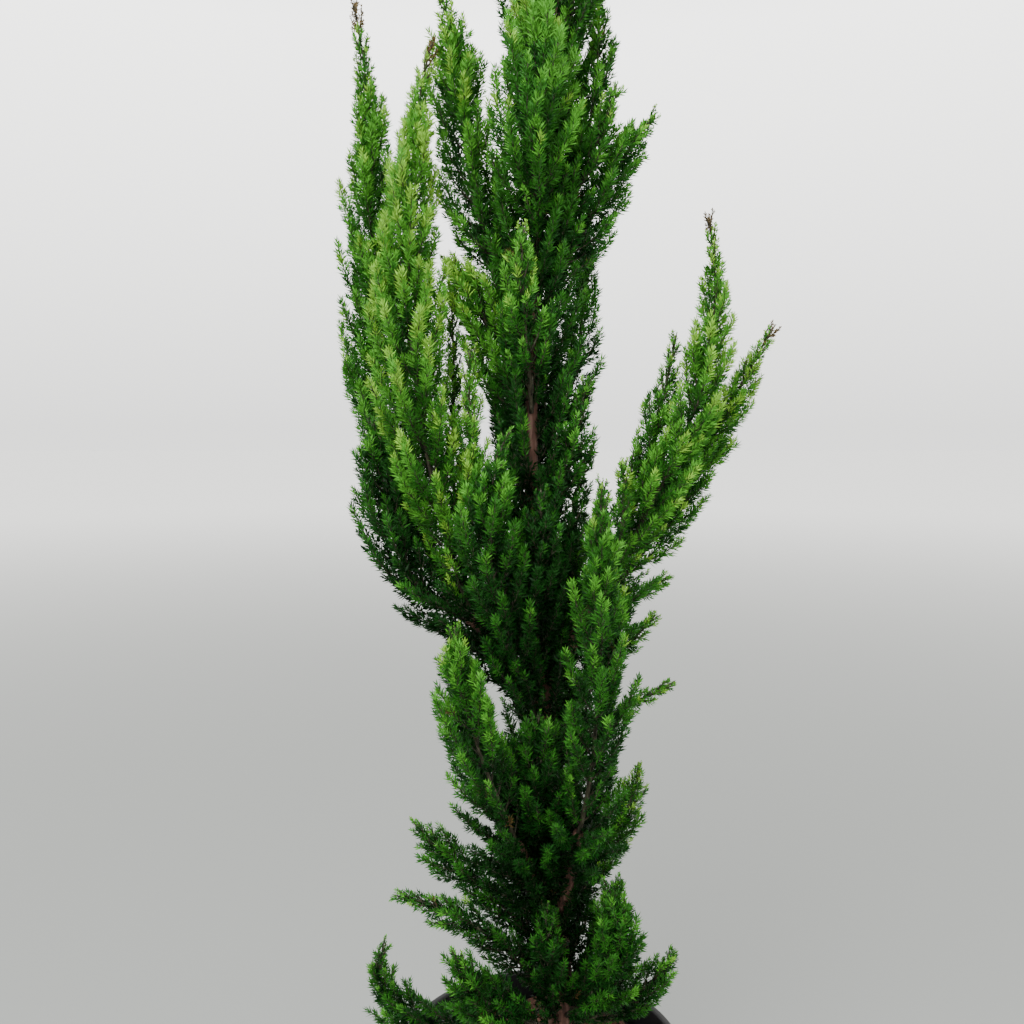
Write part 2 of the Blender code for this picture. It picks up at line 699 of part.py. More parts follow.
def main():
    for old in list(bpy.data.objects):
        bpy.data.objects.remove(old)
    black_plastic = new_material("black_plastic", (0.012, 0.012, 0.013), 0.45)
    bark = new_material("bark", (0.16, 0.085, 0.05), 0.85)
    mix = new_material("potting_mix", (0.045, 0.026, 0.016), 0.95)
    green = new_material("foliage", (0.07, 0.19, 0.035), 0.6)

    plumes = [*PLUMES, *(plume for fill in FILLS for plume in fill_plumes(fill))]
    lines, facings = lay_out(plumes)
    heights = np.arange(TRUNK_FOOT, TRUNK_TOP, CELL_STEP)
    limbs = {
        "trunk": (
            np.array([trunk_point(height) for height in heights]),
            np.array([trunk_reach(height) for height in heights]),
        )
    }
    for bough in BOUGHS:
        points = lines[bough.name]
        radii = np.linspace(bough.radius, bough.tip_radius, len(points))
        limbs[bough.name] = filled(points, radii, CELL_STEP)
    space = Space({plume.name: envelope(plume, lines[plume.name]) for plume in plumes}, limbs)

    make_pot(black_plastic)
    make_potting_mix(mix)
    make_trunk(bark)
    for bough in BOUGHS:
        make_bough(bough, lines[bough.name], facings[bough.name], bark)
    for plume in plumes:
        make_plume(plume, lines[plume.name], facings[plume.name], green, space)


main()
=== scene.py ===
"""A Lawson cypress about 1.4 m tall in a black nursery pot, with its bark, shoots and needles.

The limbs and plumes follow the part's own rule. Each plume's stem carries branchlets by the golden
angle, each branchlet carries shoots, and each shoot is a brush of needles. A shoot that would leave
its plume's own space is tried shorter, then skipped.

Metres, +Z up, the origin at the centre of the pot's underside. Headings are degrees from +X towards
+Y, and leans are degrees from the vertical.
"""

import math
from collections import namedtuple
from functools import partial

import bmesh
import bpy
import numpy as np
from bpy.props import FloatProperty, FloatVectorProperty, IntProperty, PointerProperty
from mathutils import Matrix, Vector, noise


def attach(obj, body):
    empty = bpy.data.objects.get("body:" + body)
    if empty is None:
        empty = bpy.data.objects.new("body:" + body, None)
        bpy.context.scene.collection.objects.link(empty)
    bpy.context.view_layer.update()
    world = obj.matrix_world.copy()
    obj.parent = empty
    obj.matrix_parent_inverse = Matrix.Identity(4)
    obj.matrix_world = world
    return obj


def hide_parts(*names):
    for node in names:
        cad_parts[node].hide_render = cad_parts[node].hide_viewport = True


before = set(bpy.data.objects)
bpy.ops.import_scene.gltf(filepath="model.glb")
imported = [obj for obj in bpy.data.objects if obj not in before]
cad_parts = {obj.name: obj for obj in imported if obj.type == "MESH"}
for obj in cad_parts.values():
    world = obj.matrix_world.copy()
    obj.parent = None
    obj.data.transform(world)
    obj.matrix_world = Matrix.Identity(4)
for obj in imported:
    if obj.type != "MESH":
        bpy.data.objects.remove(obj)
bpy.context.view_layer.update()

bl_info = {
    "name": "Potted Lawson cypress",
    "version": (1, 0, 0),
    "blender": (4, 5, 0),
    "location": "View3D > Sidebar > Cypress",
    "description": "Grows a Lawson cypress with its bark, needles, pot and mulch",
    "category": "Object",
}

BODY = "root"
GAP = 0.0003
SEED = 7
# A direction that no limb takes, from which turns round a limb are measured.
ASKANCE = (0.31, 0.95, 0.02)
GOLDEN_ANGLE = math.radians(137.5)
GOLDEN_SHARE = 0.618

# The pot and the level of the potting mix.
POT_RIM_RADIUS = 0.125
POT_FOOT_RADIUS = 0.094
POT_HEIGHT = 0.215
POT_WALL = 0.0020
RIM_DEPTH = 0.014
RIM_WIDTH = 0.005
COLLAR_DEPTH = 0.030
COLLAR_STEP = 0.0025
DRAIN_SLOTS = 6
DRAIN_SIZE = (0.016, 0.020, 0.010)
SOIL_LEVEL = 0.190

# The trunk.
TRUNK_FOOT = SOIL_LEVEL + GAP
TRUNK_TOP = 1.22
TRUNK_FOOT_RADIUS = 0.0135
TRUNK_TIP_RADIUS = 0.0018
TRUNK_TAPER = 1.5
FLARE = 0.0055
FLARE_HEIGHT = 0.022
FLARE_LOBES = 4
FLARE_LOBE_SHARE = 0.25
TRUNK_SWAY = 0.016
TRUNK_SWAY_HALF_WAVE = 0.60
TRUNK_SWAY_START = 0.17
TRUNK_LEAN = 0.010
TRUNK_SWAY_BACK = 0.006
TRUNK_BACK_HALF_WAVE = 0.45

# Boughs and stems.
BOUGH_STEP = 0.016
STEM_RADIUS = 0.0021
STEM_TIP_RADIUS = 0.0006
SEAT_RADIUS = 0.0040
LINE_STEP = 0.012
FULLEST = 0.35
TAPER_POWER = 0.8
LEAST_TAPER = 0.05
CELL_GAP = 0.0004
CELL_STEP = 0.003
NEAR = 0.05

Limb = namedtuple("Limb", "name foot heading swing lean length radius tip_radius")
Plume = namedtuple(
    "Plume", "name foot heading swing lean length fullness fuller lighter grown", defaults=[1]
)

BOUGHS = (
    Limb("bough_left", 0.530, 199, -12, (38, 32, 56), 0.089, 0.0085, 0.0068),
    Limb("bough_right", 0.535, 349, 14, (38, 18, 55), 0.083, 0.0075, 0.0066),
    Limb("bough_front_left", 0.332, 232, 8, (40, 22, 48), 0.098, 0.0056, 0.0045),
    Limb("bough_front_right", 0.345, 292, -16, (42, 22, 52), 0.102, 0.0058, 0.0045),
)

# A plume's foot is its height on the trunk, or the name of the bough whose tip it stands on. Fuller is
# how many times as wide as its envelope the foliage grows, lighter is how much is added to its light,
# and grown is the share of its stem that bears foliage. That added light is partly the plume's own tone
# and partly painted light: mostly lighter high up and darker low down, as the light from above falls.
PLUMES = (
    Plume("left_low", "bough_left", 184, -26, (72, 17, 11), 0.194, 0.020, 1.35, -0.12),
    Plume("left_tall", "bough_left", 149, 32, (46, 3, 12), 0.532, 0.0255, 1.38, 0.26),
    Plume("left_inner", "bough_left", 197, -6, (20, 4, -13), 0.464, 0.024, 1.55, 0.42),
    Plume("left_inner_side", "bough_left", 115, 92, (30, 0, 9), 0.280, 0.017, 0.75, 0.2),
    Plume("left_thin", 0.575, 229, -92, (43, 10, -2), 0.258, 0.009, 2, 0.36),
    Plume("left_front", 0.503, 249, -55, (36, 16, -25), 0.270, 0.0265, 1.15, -0.04),
    Plume("right_inner", "bough_right", 0, 1, (28, 16, 10), 0.235, 0.020, 1, 0.2),
    Plume("right_middle", "bough_right", 331, 59, (31, 20, -15), 0.337, 0.020, 1.2, 0.34),
    Plume("right_outer", "bough_right", 16, -18, (47, 30, 30), 0.283, 0.0205, 1.08, 0.3),
    Plume("right_tip", "bough_right", 303, -16, (42, 14, -5), 0.134, 0.0115, 1, 0.2),
    Plume("right_spur_upper", 0.568, 20, -26, (50, 64, 52), 0.124, 0.015, 0.85, 0.2),
    Plume("right_spur_middle", 0.512, 15, -20, (46, 49, 38), 0.123, 0.013, 0.85, 0.2),
    Plume("right_spur_lower", 0.465, 6, -9, (34, 56, 62), 0.125, 0.0105, 0.85, 0.2),
    Plume("right_low", 0.340, 356, 16, (34, 28, 10), 0.141, 0.018, 1, 0.2),
    Plume("front_right", "bough_front_right", 318, -80, (17, 3, -8), 0.287, 0.029, 1, 0.1),
    Plume("front_left", "bough_front_left", 232, -92, (27, 18, 3), 0.195, 0.030, 1, 0.12),
    Plume("front_middle", 0.545, 261, 33, (34, 15, -5), 0.173, 0.018, 1.2, -0.3),
    Plume("front_crook", 0.575, 323, 36, (34, 5, 31), 0.171, 0.012, 1.6, -0.18),
    Plume("front_low", 0.370, 256, -16, (38, 13, -3), 0.165, 0.023, 1.35, -0.14),
    Plume("front_low_tip", 0.398, 216, 70, (50, 22, 2), 0.118, 0.016, 2, -0.14),
    Plume("low_left_upper", 0.305, 192, -22, (36, 48, 42), 0.160, 0.0215, 1, -0.02),
    Plume("low_left_lower", 0.268, 207, -27, (36, 50, 80), 0.170, 0.0205, 0.9, -0.02),
    Plume("low_right_upper", 0.275, 328, 20, (40, 23, -2), 0.112, 0.0160, 1.15, -0.02),
    Plume("low_right_front", 0.250, 296, 30, (43, 29, -38), 0.167, 0.018, 1.3, -0.02),
    Plume("front_foot", 0.255, 254, -1, (36, 16, -6), 0.116, 0.018, 1, -0.16),
    Plume("skirt_left", 0.225, 181, -3, (84, 71, -32), 0.197, 0.0185, 1.15, -0.02),
    Plume("skirt_front_left", 0.240, 239, -61, (58, 51, 12), 0.144, 0.021, 1.15, -0.02),
    Plume("skirt_right", 0.235, 357, 4, (67, 55, 22), 0.110, 0.0175, 0.95, -0.02),
    Plume("column_right_low", 0.655, 314, 63, (34, 14, 13), 0.150, 0.0165, 0.95, -0.02),
    Plume("column_left_middle", 0.755, 171, 11, (34, 16, 50), 0.155, 0.021, 1.5, 0.41),
    Plume("column_front_low", 0.770, 268, -42, (36, 12, -4), 0.150, 0.017, 1, 0.21),
    Plume("column_left_top", 0.860, 158, 31, (50, 8, 19), 0.268, 0.028, 1.15, 0.26),
    Plume("column_right_arm", 0.855, 10, -13, (34, 28, 41), 0.182, 0.021, 1.15, 0.12),
    Plume("column_right_top", 0.900, 352, -2, (34, 24, 18), 0.141, 0.0195, 0.9, 0.12),
    Plume("column_front_top", 0.915, 269, -78, (72, -8, 14), 0.190, 0.022, 2, 0.29),
    Plume("leader", TRUNK_TOP, 20, 60, (6, 9, 3), 0.140, 0.015, 1.6, 0),
)

# The plumes that fill in what the named ones leave: behind the column, round its top, and low behind.
# Fuller and grown have a value for each plume of the fill.
Fill = namedtuple("Fill", "name feet headings lean lengths fullness fuller lighter grown")
FILLS = (
    Fill(
        "column_back", (0.600, 1.000), (6, 142), (48, 10, 2), (0.230, 0.180), (0.029, 0.022),
        (0.8, 1.3, 0.9, 0.9, 0.9, 0.85, 2), 0.1, (0.5, 1, 1, 1, 1, 1, 1),
    ),
    Fill(
        "column_top", (1.040, 1.150), (300, 660), (44, 6, 2), (0.170, 0.130), (0.025, 0.020),
        (1.25, 1.6, 1.25, 1.25), 0.32, (1, 1, 1, 1),
    ),
    Fill(
        "back", (0.235, 0.490), (28, 160), (64, 26, 4), (0.172, 0.256), (0.025, 0.029),
        (0.8, 1, 0.8, 1, 1, 0.65), -0.08, (0.45, 1, 1, 1, 1, 0.6),
    ),
)


def between(ends, share):
    return ends[0] + (ends[1] - ends[0]) * share


def fill_plumes(fill):
    """Plumes at even heights, whose headings are spread by the golden share of their range."""
    last = len(fill.fuller) - 1
    for number, (fuller, grown) in enumerate(zip(fill.fuller, fill.grown)):
        up = number / last
        yield Plume(
            f"{fill.name}_{number + 1}",
            between(fill.feet, up),
            between(fill.headings, number * GOLDEN_SHARE % 1) % 360,
            0,
            fill.lean,
            between(fill.lengths, up),
            between(fill.fullness, up),
            fuller,
            fill.lighter,
            grown,
        )


# Centre lines, as arrays of points.


def trunk_point(height):
    sway = TRUNK_SWAY * math.cos(math.pi * (height - TRUNK_SWAY_START) / TRUNK_SWAY_HALF_WAVE)
    back = TRUNK_SWAY_BACK * math.sin(math.pi * (height - SOIL_LEVEL) / TRUNK_BACK_HALF_WAVE)
    return np.array([sway + TRUNK_LEAN * (height - TRUNK_SWAY_START), back, height])


def trunk_line(heights):
    return np.array([trunk_point(height) for height in heights])


def trunk_radius(height):
    up = min(max((height - SOIL_LEVEL) / (TRUNK_TOP - SOIL_LEVEL), 0), 1)
    return TRUNK_TIP_RADIUS + (TRUNK_FOOT_RADIUS - TRUNK_TIP_RADIUS) * (1 - up) ** TRUNK_TAPER


def flare(height):
    return FLARE * math.exp(-(height - TRUNK_FOOT) / FLARE_HEIGHT)


def trunk_reach(height):
    """The trunk's radius at the widest of its flare's lobes."""
    return trunk_radius(height) + flare(height) * (1 + FLARE_LOBE_SHARE)


def way(heading, lean):
    """The unit vector of a heading and a lean, both in degrees."""
    heading, lean = math.radians(heading), math.radians(lean)
    flat = math.sin(lean)
    return np.array([flat * math.cos(heading), flat * math.sin(heading), math.cos(lean)])


def sweep(foot, limb, steps):
    """A limb's centre line. Its lean runs smoothly through the foot, middle and tip values."""
    foot_lean, middle_lean, tip_lean = limb.lean
    points = [np.array(foot)]
    for step in range(steps):
        t = (step + 0.5) / steps
        lean = foot_lean * (1 - t) * (1 - 2 * t)
        lean += middle_lean * 4 * t * (1 - t)
        lean += tip_lean * t * (2 * t - 1)
        points.append(points[-1] + way(limb.heading + limb.swing * t, lean) * limb.length / steps)
    return np.array(points)


def unit(vectors):
    return vectors / np.linalg.norm(vectors, axis=-1, keepdims=True)


def tangents(points):
    return unit(np.gradient(points, axis=0))


def across(axes):
    """Two unit vectors across each axis."""
    side = unit(np.cross(axes, ASKANCE))
    return side, np.cross(axes, side)


def frames_along(along):
    """Two unit vectors across a line at each point, which turn as little as they can along it."""
    side = unit(np.cross(along[0], ASKANCE))
    sides = []
    for axis in along:
        side = unit(side - axis * (side @ axis))
        sides.append(side)
    return np.array(sides), np.cross(along, sides)


def trunk_seat(height, heading):
    """A limb's foot on the trunk."""
    return trunk_point(height) + way(heading, 90) * (trunk_reach(height) + GAP)


def tip_seats(bough_points, plumes):
    """The feet of the plumes on a bough's tip, evenly round it, each on the side it grows towards."""
    axis = unit(bough_points[-1] - bough_points[-2])
    tip = bough_points[-1] + axis * GAP
    if len(plumes) == 1:
        return {plumes[0].name: tip}
    side = unit(np.cross(axis, (0, 0, 1)))
    up = np.cross(side, axis)
    bearing = {}
    for plume in plumes:
        start = way(plume.heading, plume.lean[0])
        bearing[plume.name] = math.atan2(start @ up, start @ side)
    order = sorted(bearing, key=bearing.get)
    share = 2 * math.pi / len(order)
    turns = [bearing[name] - share * place for place, name in enumerate(order)]
    first = math.atan2(sum(map(math.sin, turns)), sum(map(math.cos, turns)))
    seats = {}
    for place, name in enumerate(order):
        angle = first + share * place
        seats[name] = tip + (side * math.cos(angle) + up * math.sin(angle)) * SEAT_RADIUS
    return seats


def lay_out(plumes):
    """The centre line of every limb and plume."""
    lines = {}
    for bough in BOUGHS:
        seat = trunk_seat(bough.foot, bough.heading)
        lines[bough.name] = sweep(seat, bough, max(3, round(bough.length / BOUGH_STEP)))
        lines.update(tip_seats(lines[bough.name], [p for p in plumes if p.foot == bough.name]))
    for plume in plumes:
        if plume.foot == TRUNK_TOP:
            seat = trunk_point(TRUNK_TOP) + (0, 0, GAP)
        else:
            seat = lines.get(plume.name)
            if seat is None:
                seat = trunk_seat(plume.foot, plume.heading)
        lines[plume.name] = sweep(seat, plume, round(plume.length / LINE_STEP))
    return lines


# Where things are: signed distances to envelopes that are round along a centre line.


def filled(points, radii, step):
    """Points and radii at most a step apart along a centre line."""
    more_points, more_radii = [points[:1]], [radii[:1]]
    for first in range(len(points) - 1):
        count = max(1, math.ceil(np.linalg.norm(points[first + 1] - points[first]) / step))
        share = np.arange(1, count + 1)[:, None] / count
        more_points.append(points[first] + (points[first + 1] - points[first]) * share)
        more_radii.append(radii[first] + (radii[first + 1] - radii[first]) * share[:, 0])
    return np.concatenate(more_points), np.concatenate(more_radii)


def depth_outside(places, line, radii):
    """How far each place lies outside the envelope of a centre line."""
    away = np.linalg.norm(places[:, None, :] - line[None], axis=2) - radii[None]
    return away.min(axis=1)


def outside_all(limbs, places):
    """How far each place lies outside the nearest of many limbs."""
    return np.min([depth_outside(places, *limb) for limb in limbs], axis=0)


def fullness(plume, t):
    """A plume's envelope: narrow at its foot, fullest at a third, drawn out to its tip."""
    t = np.clip(t, 0, 1)
    rise = np.sin(np.minimum(t / FULLEST, 1) * math.pi / 2)
    drawn_out = np.cos(np.maximum(t - FULLEST, 0) / (1 - FULLEST) * math.pi / 2)
    fall = np.maximum(LEAST_TAPER, drawn_out) ** TAPER_POWER
    return STEM_RADIUS + (plume.fullness - STEM_RADIUS) * np.where(t < FULLEST, rise, fall)


class Space:
    """Who owns each place: the plume whose envelope is nearest. Limbs own the places they fill."""

    def __init__(self, plumes, lines):
        self.plumes = {}
        for plume in plumes:
            points = lines[plume.name]
            travelled = np.linspace(0, 1, len(points))
            self.plumes[plume.name] = filled(points, fullness(plume, travelled), CELL_STEP)
        heights = np.arange(TRUNK_FOOT, TRUNK_TOP, CELL_STEP)
        self.limbs = [(trunk_line(heights), np.array([trunk_reach(height) for height in heights]))]
        for bough in BOUGHS:
            points = lines[bough.name]
            radii = np.linspace(bough.radius, bough.tip_radius, len(points))
            self.limbs.append(filled(points, radii, CELL_STEP))

    def room(self, name, places):
        """The largest ball at each place that keeps to a plume's own space, and how far out it lies."""
        own = depth_outside(places, *self.plumes[name])
        low, high = places.min(axis=0), places.max(axis=0)
        others = np.full(len(places), np.inf)
        for other, (line, radii) in self.plumes.items():
            reach = radii.max() + NEAR
            near = ((line > low - reach) & (line < high + reach)).all(axis=1)
            if other != name and near.any():
                others = np.minimum(others, depth_outside(places, line[near], radii[near]))
        return np.minimum((others - own) / 2, outside_all(self.limbs, places)) - CELL_GAP, own


# The stretch of the trunk's front that stays bare, and how wide it is kept by shoots of the trunk
# itself and by all others.
BARE_TRUNK = (0.733, 0.866)
BARE_WIDTH = 0.007
SLIT_WIDTH = 0.0025
TRUNK_HEIGHTS = np.linspace(TRUNK_FOOT, TRUNK_TOP, 60)
TRUNK_TRACE = (TRUNK_HEIGHTS, trunk_line(TRUNK_HEIGHTS)[:, 0])


def before_bare_trunk(places, width):
    """Which places lie in front of the stretch of trunk that shows."""
    low, high = BARE_TRUNK
    middle = np.interp(places[:, 2], *TRUNK_TRACE)
    level = (places[:, 2] > low) & (places[:, 2] < high)
    return level & (places[:, 1] < 0) & (abs(places[:, 0] - middle) < width / 2)


class Heart(Space):
    """Where shoots of the trunk and the boughs may grow: clear of all limbs and the bare stretch."""

    def __init__(self, space, stem):
        self.limbs = space.limbs
        reach = stem.wide(np.minimum(1, stem.travelled / stem.length))
        self.plumes = {stem.name: (stem.line, reach)}

    def room(self, name, places):
        room, own = super().room(name, places)
        return np.where(before_bare_trunk(places, BARE_WIDTH), -1, room), own


# Growth: branchlets on a plume's stem, shoots on a branchlet, needles on a shoot, all as arrays. A t is
# how far along its stem a thing is, from 0 to 1.

PATH_STEPS = 9
# A stem's tip is a path of its own, and all that it bears gets finer near it.
TIP_LENGTH = 0.022
TIP_FINE = 0.5
FINE_FROM = 0.86
# How far a stem's line goes on past its tip, and how far its branchlets do.
BEYOND = 0.09
PAST_TIP = 0.004
# The least room in their own space that branchlets and shoots need, and how far out shoots stand.
BRANCHLET_ROOM = -0.0006
SHOOT_ROOM = -0.0012
SHOOT_OUTSIDE = 0.0010
OUTSIDE_SHARE = 0.35
JUST_UNDER = 1e-6
# The lengths that are tried in turn where there is no room.
SHORTER = (1.0, 0.78, 0.6, 0.42)
# How much spacings, angles and lengths vary.
UNEVEN = (0.8, 1.2)
BRANCHLETS_VARY = (0.6, 1.15)
SHOOTS_VARY = (0.75, 1.25)
NEEDLES_VARY = (0.7, 1.15)
BEARING_NOISE = 0.25
SWAY_NOISE = 0.12
# Branchlets lean less near a stem's tip, bend up, and reach as far as the envelope does ahead.
LEAN_NEAR_TIP = 0.72
BENT_UP = (0.25, 0.5)
LOOK_AHEAD = 0.12
# Shoots lean less along a branchlet, and the one at its tip hardly at all.
SHOOT_LEAN_KEPT = 0.55
END_SHOOT_LEAN = 0.05
LEAST_SHOOTS = 2
LEAST_WIDE = 0.004
# Needles close up and shorten along a shoot.
NEEDLE_LEAN_KEPT = 0.35
NEEDLE_LEAN_POWER = 1.5
NEEDLE_TAPER = 0.35
NEEDLE_MOST = 0.9
LEAST_NEEDLES = 4
NEEDLE_FOLD = 0.5
NEEDLE_WAIST = 0.38
TWIG_RIDGE = 0.4
TWIG_KEEL = 0.6


class Stem:
    """A centre line with a frame along it, to place things at (travelled, bearing, out)."""

    def __init__(self, row, points, length, wide, fuller, spread, past=PAST_TIP):
        self.name = row.name
        self.lighter = row.lighter
        self.length = length
        self.fuller = fuller
        self.wide = lambda t: wide(t) * fuller
        self.outside = lambda t: SHOOT_OUTSIDE + wide(t) * (OUTSIDE_SHARE + fuller - 1)
        self.spread = spread
        self.past = past
        line, _ = filled(points, np.zeros(len(points)), CELL_STEP)
        tip = line[-1] + unit(line[-1] - line[-2]) * np.array([[BEYOND / 2], [BEYOND]])
        self.line = np.concatenate([line, tip])
        steps = np.linalg.norm(np.diff(self.line, axis=0), axis=1)
        self.travelled = np.concatenate([[0], np.cumsum(steps)])
        self.along = tangents(self.line)
        self.side, self.over = frames_along(self.along)

    def at(self, values, travelled):
        return np.stack([np.interp(travelled, self.travelled, column) for column in values.T], axis=-1)

    def place(self, travelled, bearing, out):
        sideways = self.at(self.side, travelled) * np.cos(bearing)[..., None]
        sideways += self.at(self.over, travelled) * np.sin(bearing)[..., None]
        return self.at(self.line, travelled) + sideways * out[..., None]


def tried_shorter(count, fits):
    """Tries all at full length, and what doesn't fit ever shorter: the numbers and shares that fit."""
    left = np.arange(count)
    kept, shares = [], []
    for shorter in SHORTER:
        roomy = fits(left, shorter)
        kept.append(left[roomy])
        shares.append(np.full(roomy.sum(), shorter))
        left = left[~roomy]
        if not len(left):
            break
    return np.concatenate(kept), np.concatenate(shares)


def branchlet_feet(stem, shape, rng):
    """How far along the stem each branchlet leaves it."""
    starts = []
    travelled = shape.bare_stem
    while travelled < stem.length - shape.branchlet_least / 2:
        starts.append(travelled)
        wide = float(stem.wide(travelled / stem.length))
        spacing = max(shape.branchlet_spacing, wide * shape.branchlet_spread * stem.spread)
        travelled += spacing * rng.uniform(*UNEVEN)
    return np.array(starts)


def summed(parts, step):
    """How far steps have come, from nought at the first."""
    return np.cumsum(parts, axis=1) * step - parts[:, :1] * step


def grow_branchlets(stem, space, shape, rng):
    """Paths that leave the stem by the golden angle and bend up along it, within the envelope."""
    starts = branchlet_feet(stem, shape, rng)
    count = len(starts)
    bearing = rng.uniform(0, math.tau) + GOLDEN_ANGLE * np.arange(count)
    bearing += rng.normal(0, BEARING_NOISE, count)
    t = starts / stem.length
    first = np.radians(between((shape.branchlet_lean, shape.branchlet_lean * LEAN_NEAR_TIP), t))
    last = first * rng.uniform(*BENT_UP, count)
    reach = stem.wide(np.minimum(1, t + LOOK_AHEAD)) * shape.branchlet_reach
    reach *= rng.uniform(*BRANCHLETS_VARY, count)
    length = np.clip(reach / np.sin((first + last) / 2), shape.branchlet_least, shape.branchlet_most)
    length = np.minimum(length, stem.length - starts + stem.past)
    share = np.linspace(0, 1, PATH_STEPS)
    lean = first[:, None] + (last - first)[:, None] * share
    sway = rng.normal(0, SWAY_NOISE, count)[:, None] * share

    def bent(which, shorter):
        step = (length[which] * shorter / (PATH_STEPS - 1))[:, None]
        travelled = starts[which][:, None] + summed(np.cos(lean[which]), step)
        out = summed(np.sin(lean[which]), step)
        return stem.place(travelled, bearing[which][:, None] + sway[which], out)

    def fits(which, shorter):
        outer = bent(which, shorter)[:, PATH_STEPS // 2 :]
        room, _ = space.room(stem.name, outer.reshape(-1, 3))
        return (room.reshape(len(which), -1) > BRANCHLET_ROOM).all(axis=1)

    kept, shorter = tried_shorter(count, fits)
    tip = stem.at(stem.line, np.linspace(stem.length - TIP_LENGTH, stem.length, PATH_STEPS))
    return np.concatenate([bent(kept, shorter), tip[None]]), np.append(t[kept], 1)


def fineness(t):
    """How much smaller everything gets towards a stem's tip."""
    return 1 - (1 - TIP_FINE) * np.clip((t - FINE_FROM) / (1 - FINE_FROM), 0, 1)


def along_paths(paths, which, share):
    """Points and tangents on the paths, at shares of their lengths."""
    steps = paths.shape[1] - 1
    place = np.minimum(share * steps, steps - JUST_UNDER)
    low = place.astype(int)
    first, second = paths[which, low], paths[which, low + 1]
    return first + (second - first) * (place - low)[:, None], unit(second - first)


def spread_out(counts):
    """For each of many rows, the row and the number of each thing that it carries."""
    which = np.repeat(np.arange(len(counts)), counts)
    first = np.repeat(np.cumsum(counts) - counts, counts)
    return which, np.arange(len(which)) - first


def lean_from(axes, angle, bearing):
    """Unit vectors at an angle from axes, turned about them by a bearing."""
    side, over = across(axes)
    out = side * np.cos(bearing)[:, None] + over * np.sin(bearing)[:, None]
    return axes * np.cos(angle)[:, None] + out * np.sin(angle)[:, None]


def start_shoots(stem, paths, path_t, shape, rng):
    """Shoots along each branchlet by the golden angle, and one at its tip, before any is fitted in."""
    lengths = np.linalg.norm(np.diff(paths, axis=1), axis=2).sum(axis=1)
    leafy = lengths * (1 - shape.bare_branchlet)
    counts = np.maximum(LEAST_SHOOTS, np.ceil(leafy / shape.shoot_spacing)).astype(int) + 1
    which, number = spread_out(counts)
    share = shape.bare_branchlet + (1 - shape.bare_branchlet) * number / (counts[which] - 1)
    roots, axes = along_paths(paths, which, share)
    turn = rng.uniform(0, math.tau, len(paths))[which] + GOLDEN_ANGLE * number
    angle = np.radians(between((shape.shoot_lean, shape.shoot_lean * SHOOT_LEAN_KEPT), share))
    angle = angle * rng.uniform(*UNEVEN, len(which))
    angle = np.where(number == counts[which] - 1, END_SHOOT_LEAN, angle)
    ahead = lean_from(axes, angle, turn)
    upward = stem.at(stem.along, path_t[which] * stem.length)
    ahead = unit(ahead + upward * shape.shoot_upturn)
    length = np.clip(stem.wide(path_t[which]) * shape.shoot_share, shape.shoot_least, shape.shoot_most)
    length *= (1 - shape.shoot_taper * share) * rng.uniform(*SHOOTS_VARY, len(which))
    length *= fineness(path_t[which])
    return path_t[which], share, roots, ahead, length


def grow_shoots(stem, paths, path_t, space, shape, rng):
    """The shoots that have room.

    Arrays of roots, directions and lengths, then of how far up its branchlet, how far along the stem
    and how far out from it each shoot is.
    """
    t, share, roots, ahead, length = start_shoots(stem, paths, path_t, shape, rng)

    def fits(some, shorter):
        tips = roots[some] + ahead[some] * (length[some] * shorter)[:, None]
        room, own = space.room(stem.name, tips)
        roomy = (room > SHOOT_ROOM) & (own < stem.outside(t[some]))
        return roomy & ~before_bare_trunk(tips, SLIT_WIDTH) & ~before_bare_trunk(roots[some], SLIT_WIDTH)

    kept, shorter = tried_shorter(len(t), fits)
    roots, ahead, share, t = roots[kept], ahead[kept], share[kept], t[kept]
    length = length[kept] * shorter
    own = depth_outside(roots + ahead * length[:, None], *space.plumes[stem.name])
    wide = np.maximum(stem.wide(t), LEAST_WIDE)
    out = np.clip(1 / stem.fuller + own / wide, 0, 1)
    return roots, ahead, length, share, t, out


def grow_needles(roots, ahead, length, t, shape, rng):
    """Needles all round each shoot, standing off at its foot and closing at its tip."""
    counts = np.maximum(LEAST_NEEDLES, np.ceil(length / shape.needle_spacing)).astype(int)
    which, number = spread_out(counts)
    share = (number + 0.5) / counts[which]
    bases = roots[which] + ahead[which] * (share * length[which])[:, None]
    bearing = rng.uniform(0, math.tau, len(roots))[which] + GOLDEN_ANGLE * number
    leans = shape.needle_lean, shape.needle_lean * NEEDLE_LEAN_KEPT
    angle = np.radians(between(leans, share**NEEDLE_LEAN_POWER))
    angle *= rng.uniform(*UNEVEN, len(which))
    axes = lean_from(ahead[which], angle, bearing)
    long = shape.needle_length * (1 - NEEDLE_TAPER * share**2) * rng.uniform(*NEEDLES_VARY, len(which))
    long = np.minimum(long * fineness(t[which]), length[which] * NEEDLE_MOST)
    return which, bases, axes, long


def flat_of(axes, rng):
    """A unit vector across each axis, at a random turn."""
    side, over = across(axes)
    turn = rng.uniform(0, math.tau, len(axes))[:, None]
    return side * np.cos(turn) + over * np.sin(turn)


def for_each(faces, corners, count):
    """The faces of one thing, repeated for many that have so many corners each."""
    return (faces[None] + corners * np.arange(count)[:, None, None]).reshape(-1, 3)


def needle_mesh(bases, axes, long, width, rng):
    """Two faces a needle: pointed at both ends, folded along its middle, widest near its foot."""
    flat = flat_of(axes, rng) * width / 2
    folded = np.cross(axes, flat) * NEEDLE_FOLD
    waist = bases + axes * (long * NEEDLE_WAIST)[:, None]
    corners = [bases, waist + flat + folded, waist - flat + folded, bases + axes * long[:, None]]
    faces = np.array([(0, 1, 3), (0, 3, 2)])
    return np.stack(corners, axis=1).reshape(-1, 3), for_each(faces, 4, len(bases))


